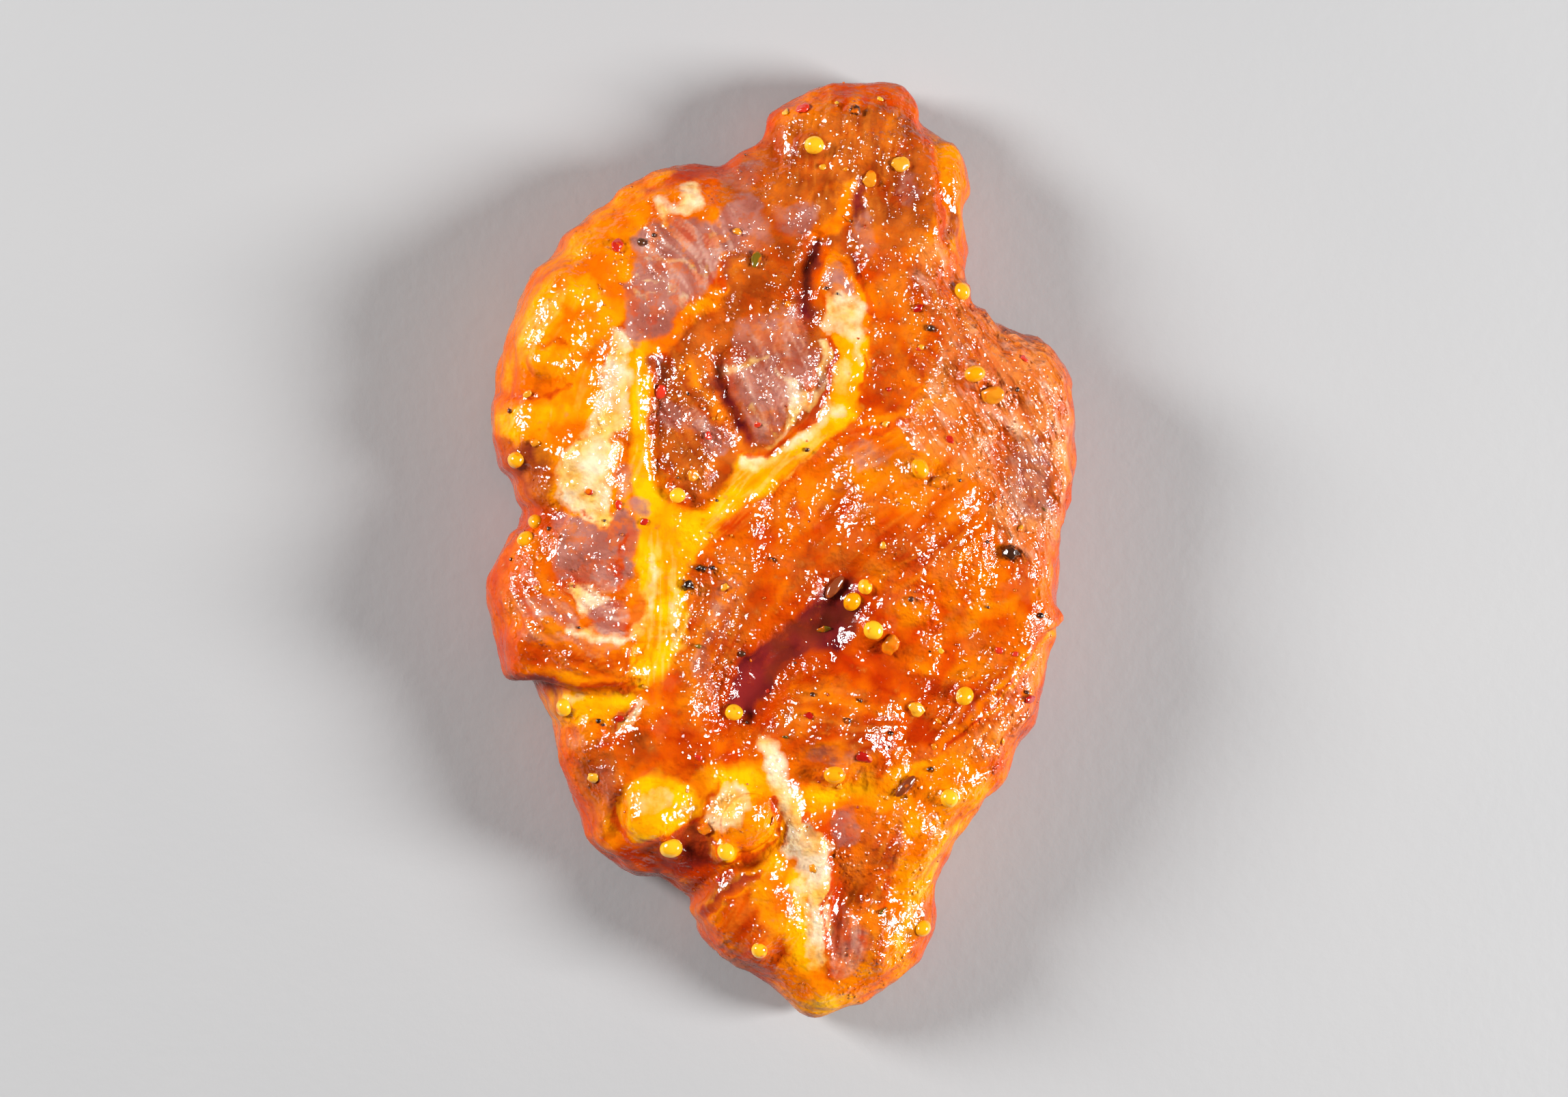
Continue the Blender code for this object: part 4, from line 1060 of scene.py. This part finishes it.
def marinade_group():
    """The marinade, for meat and spices alike: its drifts, the film it leaves, its specks and wet ripples."""
    group, nodes, given = new_group(
        "marinade", "ShaderNodeTree", {"Place": "Vector", "Beading": "Float", "Calm": "Float"},
        {"Specks": "Float", "Drifts": "Float", "Film": "Float", "Height": "Float"},
    )
    place, beading = given["Place"], given["Beading"]
    clusters = nodes.spread(nodes.cloud(place, 2.6, 2.0), 0.36, 0.6, 0.15, 1.0)
    clusters = nodes.times(nodes.spread(beading, 0, 1, 0.4, 1.0), clusters)
    drops = nodes.times(nodes.beads(place, 0.8), nodes.spread(clusters, 0.05, 1, 0.0, 0.32))
    droplets = nodes.times(nodes.beads(place, 0.5), nodes.spread(clusters, 0.3, 1, 0.0, 0.15))
    swells = nodes.times(nodes.cloud(place, 1.8, 1.0), nodes.spread(beading, 0, 1, 0.16, 0.3))
    ripple_height = nodes.spread(nodes.cloud(place, 5.0, 1.0), 0.4, 0.62, 0.22, 0.52)
    ripple_height = nodes.times(ripple_height, nodes.spread(given["Calm"], 0, 1, 1.0, 0.0))
    ripples = nodes.times(nodes.cloud(place, 0.9, 1.5), ripple_height)
    nodes.add("NodeGroupOutput", {
        "Specks": nodes.spread(nodes.beads(place, 1.6), 0.6, 0.8),
        "Drifts": nodes.cloud(place, 4.4, 2.5, 0.5),
        "Film": nodes.spread(nodes.cloud(place, 2.8, 4.0, 0.6), 0.49, 0.56),
        "Height": nodes.plus(nodes.plus(nodes.plus(drops, droplets), swells), ripples),
    })
    return group


# The face stands full of wet marinade, and the steep sides and the base have drained
WET = {"IOR": 1.5, "Specular_IOR_Level": 0.8, "Coat_Weight": 0.05, "Coat_Roughness": 0.05}
MOIST = {"IOR": 1.38, "Specular_IOR_Level": 0.2}
SIDE_FROM = 0.7  # a face that points less upward than this belongs to the sides

# How wide each finish blurs at its frayed edges, as a share of its mask to either side of a half
BLURS = {
    "deep": 0.4, "brown": 0.3, "fat": 0.34, "yellow": 0.38, "mauve": 0.34, "cream": 0.27, "red": 0.3,
    "sauce": 0.48,
}
# The two colours of muscle and of each finish, and the span of the marinade's drifts between them
DRIFTING = {
    "muscle": (0.38, 0.62, (202, 60, 0), (236, 122, 0)),
    "deep": (0.4, 0.6, (176, 44, 0), (208, 77, 0)),
    "brown": (0.38, 0.62, (152, 58, 8), (202, 98, 26)),
    "skin": (0.4, 0.6, (206, 92, 20), (230, 138, 72)),
    "fat": (0.4, 0.62, (232, 106, 0), (250, 146, 0)),
    "yellow": (0.4, 0.62, (252, 150, 0), (255, 182, 2)),
    "mauve": (0.38, 0.64, (162, 90, 74), (186, 120, 104)),
    "cream": (0.38, 0.6, (246, 194, 92), (244, 220, 180)),
    "red": (0.4, 0.6, (188, 44, 0), (220, 84, 4)),
    "sauce": (0.36, 0.62, (92, 18, 24), (136, 36, 34)),
}
# What varies them, in turn: the mask and its span, the most that it tints, and towards which colour
TINTS = [
    ("muscle", "broad", 0.42, 0.62, 0.6, (206, 72, 0)),
    ("muscle", "sweep", 0.52, 0.3, 0.6, (186, 50, 0)),
    ("muscle", "sweep", 0.52, 0.72, 0.5, (240, 132, 0)),
    ("muscle", "cloudy", 0.54, 0.64, 0.3, (206, 100, 48)),
    # painted light: muscle on the ridges turns lighter and yellower
    ("muscle", "raised", 0.0, 1.0, 0.5, (221, 129, 3)),
    ("brown", "sweep", 0.5, 0.3, 0.4, (132, 44, 14)),
    # the crests of the skin's wrinkles turn paler, partly whitish skin and partly painted highlight, and the
    # furrows take painted shade
    ("skin", "wrinkles", 0.54, 0.68, 0.6, (246, 200, 166)),
    ("skin", "wrinkles", 0.46, 0.34, 0.4, (190, 66, 8)),
    ("mauve", "fibre", 0.5, 0.2, 0.4, (146, 66, 40)),
    ("mauve", "pale", 0.0, 1.0, 1.0, (226, 180, 158)),
    ("cream", "gaps", 0.0, 1.0, 1.0, (252, 158, 10)),
    ("sauce", "broad", 0.46, 0.6, 0.5, (124, 50, 18)),
]


def cream_gaps(nodes, place, drifts):
    """Thin lines of marinade between the crumbs of the bare cream fat."""
    bends = nodes.out("ShaderNodeTexNoise", {"Vector": place, "Scale": 0.7}, "Color")
    bent = {0: bends, 1: (2.4, 2.4, 2.4), 2: place}
    bent = nodes.out("ShaderNodeVectorMath", bent, operation="MULTIPLY_ADD")
    gaps = nodes.out("ShaderNodeTexVoronoi", {"Vector": bent, "Scale": 1 / 3.0}, feature="DISTANCE_TO_EDGE")
    return nodes.times(nodes.spread(gaps, 0.2, 0.0, 0.0, 0.5), nodes.spread(drifts, 0.6, 0.42))


def meat_material(name, marinade, gloss):
    """Muscle, fat and bare patches under an uneven orange marinade, as glossy as the gloss settings say."""
    made, nodes = new_material(name)
    place = nodes.millimetres()
    mask = {name: nodes.attribute(name) for name in (*FINISHES, "fibre", "sweep", "pooled_and_shaded", "raised", "side")}
    fray = nodes.times(nodes.maths("SUBTRACT", nodes.cloud(place, 1.5, 3.5, 0.55), 0.5), 1.1)
    for name, blur in BLURS.items():
        mask[name] = nodes.spread(nodes.plus(mask[name], fray), 0.5 - blur, 0.5 + blur)
    calm = nodes.times(nodes.maths("MAXIMUM", mask["fat"], mask["yellow"]), 0.4)
    calm = nodes.maths("MAXIMUM", calm, nodes.times(mask["side"], 0.65))
    coat = {"Place": place, "Beading": mask["beads"], "Calm": calm}
    coat = nodes.add("ShaderNodeGroup", coat, node_tree=marinade).outputs
    drifts, film = coat["Drifts"], coat["Film"]
    mask["broad"] = nodes.cloud(place, 8.0, 2.0)
    mask["cloudy"] = nodes.cloud(place, 3.6, 3.0)
    mask["pale"] = nodes.spread(mask["fibre"], 0.66, 0.95, 0.0, 0.55)
    mask["wrinkles"] = nodes.stretched(place, -58, 1.4, 4.4)
    mask["gaps"] = cream_gaps(nodes, place, drifts)

    own = {}
    for name, (low, high, dark, light) in DRIFTING.items():
        own[name] = nodes.tinted(srgb(*dark), drifts, low, high, 1.0, light)
    for name, value, *tint in TINTS:
        own[name] = nodes.tinted(own[name], mask[value], *tint)

    def bare(name, least):
        """A bare patch, as far as the film of marinade lets it show, and its colour."""
        return nodes.times(mask[name], nodes.spread(film, 0, 1, 1.0, least)), own[name]

    colour = own["muscle"]
    for share, over in (
        (mask["deep"], own["deep"]),
        bare("brown", 0.6),
        (mask["skin"], own["skin"]),
        (nodes.times(mask["pale"], 0.4), srgb(240, 142, 40)),
        (mask["fat"], own["fat"]),
        (mask["yellow"], own["yellow"]),
        (nodes.times(nodes.times(mask["pale"], mask["yellow"]), 0.8), srgb(250, 196, 100)),
        bare("mauve", 0.5),
        bare("cream", 0.8),
        (nodes.times(mask["red"], 0.9), own["red"]),
        (nodes.spread(mask["fibre"], 0.42, 0.12, 0.0, 0.24), srgb(178, 51, 0)),
        # painted shade in creases, hollows and on the steep sides, together with the marinade pooled in them
        (nodes.spread(mask["pooled_and_shaded"], 0.1, 1.0, 0.0, 0.75), srgb(176, 46, 2)),
        # painted shade: the steep sides turn darker red
        (nodes.spread(mask["side"], 0.4, 1.0, 0.0, 0.5), srgb(188, 58, 0)),
        (mask["sauce"], own["sauce"]),
        (nodes.times(coat["Specks"], 0.3), srgb(176, 37, 0)),
    ):
        colour = nodes.mix(share, colour, over)

    wrinkles = nodes.plus(mask["wrinkles"], nodes.times(nodes.stretched(place, -66, 0.6, 1.7), 0.16))
    wrinkles = nodes.times(wrinkles, nodes.spread(mask["skin"], 0.0, 0.6, 0.0, 1.3))
    ripples = nodes.times(coat["Height"], nodes.spread(mask["sauce"], 0, 1, 1.0, 0.2))
    roughness = nodes.plus(nodes.spread(drifts, 0.3, 0.7, 0.02, 0.07), nodes.times(mask["side"], 0.05))
    shader_of(
        nodes, colour, nodes.bump(nodes.plus(ripples, wrinkles), MM), **gloss, Roughness=roughness,
        Subsurface_Weight=0.12, Subsurface_Radius=(1.0, 0.3, 0.06), Subsurface_Scale=0.8 * MM,
    )
    return made


def spice_material(name, marinade, dark, light, coating, roughness):
    """A spice: its own two colours, under as much orange marinade as coating says."""
    made, nodes = new_material(name)
    place = nodes.millimetres()
    coat = {"Place": place, "Beading": 0.0, "Calm": 0.5}
    coat = nodes.add("ShaderNodeGroup", coat, node_tree=marinade).outputs
    own = nodes.mix(nodes.attribute("shade"), srgb(*dark), srgb(*light))
    covered = nodes.spread(nodes.cloud(place, 1.8, 2.0), 0.7 - 0.4 * coating, 0.8 - 0.4 * coating)
    shader_of(
        nodes, nodes.mix(covered, own, srgb(228, 104, 3)), nodes.bump(coat["Height"], 0.3 * MM),
        Roughness=roughness, Coat_Weight=0.8, Coat_Roughness=0.08,
        Subsurface_Weight=0.2, Subsurface_Radius=(1.0, 0.6, 0.2), Subsurface_Scale=1.2 * MM,
    )
    return made


def floor_material():
    made, nodes = new_material("pale_floor")
    place = nodes.millimetres()
    colour = nodes.mix(nodes.cloud(place, 60.0), srgb(169, 169, 170), srgb(174, 173, 173))
    shader_of(nodes, colour, nodes.bump(nodes.cloud(place, 2.0), 0.05 * MM), Roughness=0.6)
    return made


# ---------------------------------------------------------------- spices

# Each material: its darker and its lighter colour, its share of marinade, and its roughness
SPICES = {
    "mustard_seed": ((244, 154, 0), (248, 188, 34), 0.22, 0.14),
    "amber_flake": ((218, 116, 6), (234, 168, 38), 0.4, 0.2),
    "chilli_flake": ((168, 14, 8), (222, 56, 32), 0.25, 0.2),
    "black_pepper": ((32, 15, 9), (84, 46, 26), 0.3, 0.2),
    "caraway": ((98, 38, 16), (146, 70, 34), 0.2, 0.2),
    "herb": ((88, 70, 10), (122, 100, 22), 0.6, 0.2),
    "ground_spice": ((152, 24, 3), (211, 120, 16), 0.5, 0.2),
}


def spice_tree():
    """Geometry Nodes: a lumpy grain on every point, turned and sized as the point says."""
    tree, nodes, given = new_group(
        "spice", "GeometryNodeTree",
        {"Geometry": "Geometry", "Slimness": "Float", "Flatness": "Float", "Lumpiness": "Float",
         "Lump Size": "Float", "Facets": "Int", "Seed": "Int", "Material": "Material"},
        {"Geometry": "Geometry"},
    )

    def read(name, kind="FLOAT"):
        return nodes.out("GeometryNodeInputNamedAttribute", {"Name": name}, data_type=kind)

    def drawn(**limits):
        """A number for each grain, from 0 to 1 if no limits are given."""
        inputs = {2: limits.get("low", 0.0), 3: limits.get("high", 1.0), "Seed": given["Seed"]}
        return nodes.out("FunctionNodeRandomValue", inputs, 1, data_type="FLOAT")

    ball = nodes.out("GeometryNodeMeshIcoSphere", {"Radius": 0.5, "Subdivisions": given["Facets"]})
    facing = read("facing", "FLOAT_VECTOR")
    upright = nodes.out("FunctionNodeAlignRotationToVector", {"Vector": facing}, axis="Z")
    spin = nodes.out("FunctionNodeAxisAngleToRotation", {"Axis": (0, 0, 1), "Angle": read("turn")})
    turned = nodes.out("FunctionNodeRotateRotation", {0: upright, 1: spin}, rotation_space="LOCAL")
    width = drawn(low=given["Slimness"], high=nodes.times(given["Slimness"], 1.2))
    proportions = nodes.out("ShaderNodeCombineXYZ", {0: 1.0, 1: width, 2: given["Flatness"]})
    sized = nodes.scaled(proportions, read("size"))
    grains = {"Points": given["Geometry"], "Instance": ball, "Rotation": turned, "Scale": sized}
    grains = nodes.out("GeometryNodeInstanceOnPoints", grains)
    grains = {"Geometry": grains, "Name": "shade", "Value": drawn()}
    grains = nodes.out("GeometryNodeStoreNamedAttribute", grains, domain="INSTANCE")
    solid = nodes.out("GeometryNodeRealizeInstances", {"Geometry": grains})
    rate = nodes.maths("DIVIDE", 1.0, given["Lump Size"])
    lumps = {"Vector": nodes.out("GeometryNodeInputPosition"), "Scale": rate, "Detail": 1.0}
    lumps = nodes.maths("SUBTRACT", nodes.out("ShaderNodeTexNoise", lumps), 0.5)
    offset = nodes.scaled(nodes.out("GeometryNodeInputNormal"), nodes.times(lumps, given["Lumpiness"]))
    solid = nodes.out("GeometryNodeSetPosition", {"Geometry": solid, "Offset": offset})
    solid = nodes.out("GeometryNodeSetMaterial", {"Geometry": solid, "Material": given["Material"]})
    nodes.add("NodeGroupOutput", {"Geometry": solid})
    return tree


def strew(name, tree, spots, settings):
    """One piece for a kind of spice: a grain for each spot (place, facing, size and turn)."""
    places, facings, sizes, turns = zip(*spots)
    cloud = bpy.data.meshes.new(name)
    cloud.from_pydata(places, [], [])
    facing = cloud.attributes.new("facing", "FLOAT_VECTOR", "POINT")
    facing.data.foreach_set("vector", np.array(facings, np.float32).ravel())
    numbers_on(cloud, "size", np.array(sizes))
    numbers_on(cloud, "turn", np.array(turns))
    piece = new_object(name, cloud)
    modifier = piece.modifiers.new("grains", "NODES")
    modifier.node_group = tree
    for item in tree.interface.items_tree:
        if item.in_out == "INPUT" and item.name in settings:
            modifier[item.identifier] = settings[item.name]
    apply_modifiers(piece)
    piece.data.shade_smooth()
    return piece


class Face:
    """The finished face of the slice, to stand spices on."""

    def __init__(self, steak, middle):
        self.tree = BVHTree.FromObject(steak, bpy.context.evaluated_depsgraph_get())
        self.middle = middle

    def spot(self, sunk, flatness, x, y, size, turn=0.0):
        """Where a grain of a size and turn sits at a place in millimetres, sunk by a share of its height."""
        over = Vector(((x - self.middle[0]) * MM, (y - self.middle[1]) * MM, 3 * THICKNESS * MM))
        point, normal, _, _ = self.tree.ray_cast(over, Vector((0, 0, -1)))
        if point is None:
            return None
        return point + normal * ((0.5 - sunk) * flatness * size * MM), normal, size * MM, math.radians(turn)

    def standing(self, rows, sunk, flatness=1.0):
        """Spots for the rows of a table, each with its place, size and turn."""
        return [self.spot(sunk, flatness, *row) for row in rows]

    def scattered(self, count, sizes, seed, sunk, flatness=1.0, wanted=None):
        """Spots at random over the face, seeded. wanted gives the share kept at a place."""
        draw = np.random.default_rng(seed)
        low, high = np.min(OUTLINE, axis=0), np.max(OUTLINE, axis=0)
        spots = []
        while len(spots) < count:
            x, y = draw.uniform(low, high)
            size, turn, luck = draw.uniform(*sizes), draw.uniform(0, 360), draw.uniform()
            if wanted and luck > wanted(x, y):
                continue
            found = self.spot(sunk, flatness, x, y, size, turn)
            if found:
                spots.append(found)
        return spots


def thick_marinade(x, y):
    """Share of the fine spices kept at a place: they lie in drifts, and few on the bare patches."""
    drift = 0.5 + 0.7 * noise(np.array([[x, y, 0.0]]), 8, 61)[0]
    here = np.array([[x, y]])
    bare = max(finish_mask(here, "mauve")[0], finish_mask(here, "cream")[0])
    return drift * (1 - 0.7 * bare)


def spices(face, marinade):
    """Every kind of spice, each as one piece."""
    tree = spice_tree()
    materials = {name: spice_material(name, marinade, *row) for name, row in SPICES.items()}

    def kind(name, spots, material, slimness, flatness, lumps, lump_size, facets=2):
        settings = {
            "Slimness": slimness, "Flatness": flatness, "Lumpiness": lumps * MM, "Lump Size": lump_size * MM,
            "Facets": facets, "Seed": 7, "Material": materials[material],
        }
        return strew(name, tree, spots, settings)

    seeds = [(x, y, size * MUSTARD_SEED, 97 * i) for i, (x, y, size) in enumerate(MUSTARD)]
    chilli = face.standing(CHILLI, 0.25, 0.4)
    chilli += face.scattered(16, (0.6, 1.4), 71, 0.1, 0.3, thick_marinade)
    pepper = face.standing(PEPPER_BITS, 0.3, 0.8) + face.scattered(30, (0.3, 0.7), 72, 0.2)
    herbs = face.standing(HERBS, 0.1, 0.3) + face.scattered(7, (0.6, 1.4), 73, 0.1, 0.3)
    onion = face.scattered(28, (0.5, 1.3), 74, 0.35, 0.5, thick_marinade)
    ground = face.scattered(90, (0.25, 0.5), 75, 0.4, 0.6, thick_marinade)
    return [
        kind("mustard_seeds", face.standing(seeds, 0.5), "mustard_seed", 0.8, 0.85, 0.3, 2.0, 4),
        kind("amber_flakes", face.standing(FLAKES, 0.2, 0.45), "amber_flake", 0.7, 0.45, 0.9, 0.9, 3),
        kind("peppercorns", face.standing(PEPPER, 0.3), "black_pepper", 0.8, 0.8, 1.2, 0.6, 3),
        kind("caraway_seeds", face.standing(HULLS, 0.3, 0.36), "caraway", 0.36, 0.36, 0.2, 0.5, 4),
        kind("chilli_flakes", chilli, "chilli_flake", 0.65, 0.35, 0.6, 0.6, 3),
        kind("cracked_pepper", pepper, "black_pepper", 0.8, 0.8, 0.4, 0.3),
        kind("herb_flecks", herbs, "herb", 0.4, 0.22, 0.9, 0.5),
        kind("onion_grains", onion, "amber_flake", 0.7, 0.5, 0.9, 0.6),
        kind("ground_spice", ground, "ground_spice", 0.7, 0.6, 0.4, 0.3),
    ]


# ---------------------------------------------------------------- the stage, camera and light

FRAME_PIXELS = (2296, 1607)
FILL = 0.86  # share of the picture's height that the slice takes up
CAMERA_FROM = Vector((-65 * MM, -7 * MM, 650 * MM))  # over the middle, from a little left and below
LENS_SENSOR = 36.0  # width of the sensor behind the lens
FLOOR_HALF = 1.5  # half the width of the floor, in metres


def look(obj, aim, up):
    """Turns a camera or a light to face the aim, with the up direction at the top of its view."""
    ahead = (aim - obj.location).normalized()
    right = ahead.cross(up).normalized()
    turned = Matrix((right, right.cross(ahead), -ahead)).transposed()
    obj.rotation_euler = turned.to_euler()


def add_floor():
    floor = bpy.data.meshes.new("floor")
    form = bmesh.new()
    bmesh.ops.create_grid(form, x_segments=2, y_segments=2, size=FLOOR_HALF)
    form.to_mesh(floor)
    form.free()
    floor.materials.append(floor_material())
    new_object("floor", floor)


def add_camera(low, high):
    data = bpy.data.cameras.new("camera")
    camera = new_object("camera", data)
    bpy.context.scene.camera = camera
    aim = (low + high) / 2
    camera.location = aim + CAMERA_FROM
    look(camera, aim, Vector((0, 1, 0)))
    data.sensor_width = LENS_SENSOR
    seen_height = (high.y - low.y) / FILL
    sensor_height = LENS_SENSOR * FRAME_PIXELS[1] / FRAME_PIXELS[0]
    data.lens = sensor_height * (camera.location - aim).length / seen_height
    data.clip_start, data.clip_end = 0.01, 20


def add_light(name, place, size, power, mirrored=True):
    """A round light that shines on the slice, and is mirrored in the marinade or not."""
    data = bpy.data.lights.new(name, "AREA")
    data.shape, data.size, data.energy = "DISK", size, power
    light = new_object(name, data)
    light.location = place
    light.visible_glossy = mirrored
    look(light, Vector((0, 0, 0)), Vector((0, 1, 0.01)))


def add_world(strength):
    world = bpy.data.worlds.new("studio")
    bpy.context.scene.world = world
    world.use_nodes = True
    background = world.node_tree.nodes["Background"].inputs
    background["Color"].default_value = (1, 1, 1, 1)
    background["Strength"].default_value = strength


# ---------------------------------------------------------------- putting it together

def main():
    steak = marinated_slice()
    place = vertex_vectors(steak.data, "co")
    low, high = place.min(0), place.max(0)
    middle = np.array([(low[0] + high[0]) / 2, (low[1] + high[1]) / 2, low[2]])
    move_vertices(steak.data, (place - middle) * MM)
    marinade = marinade_group()
    steak.data.materials.clear()
    steak.data.materials.append(meat_material("marinated_pork", marinade, WET))
    steak.data.materials.append(meat_material("marinated_side", marinade, MOIST))
    drained = [face.normal.z < SIDE_FROM for face in steak.data.polygons]
    steak.data.polygons.foreach_set("material_index", np.array(drained, np.int32))
    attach(steak, "root")
    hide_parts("steak")
    for piece in spices(Face(steak, middle), marinade):
        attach(piece, "root")

    add_floor()
    add_camera(*cad_box)
    add_light("right_light", (0.9, -0.12, 0.54), 0.4, 18.4)
    add_light("left_light", (-0.88, 0.3, 0.5), 0.4, 15.4)
    add_light("soft_fill", (0, 0, 1.3), 1.2, 1.4, mirrored=False)
    add_world(0.02)
    bpy.context.scene.view_settings.view_transform = "Standard"


main()
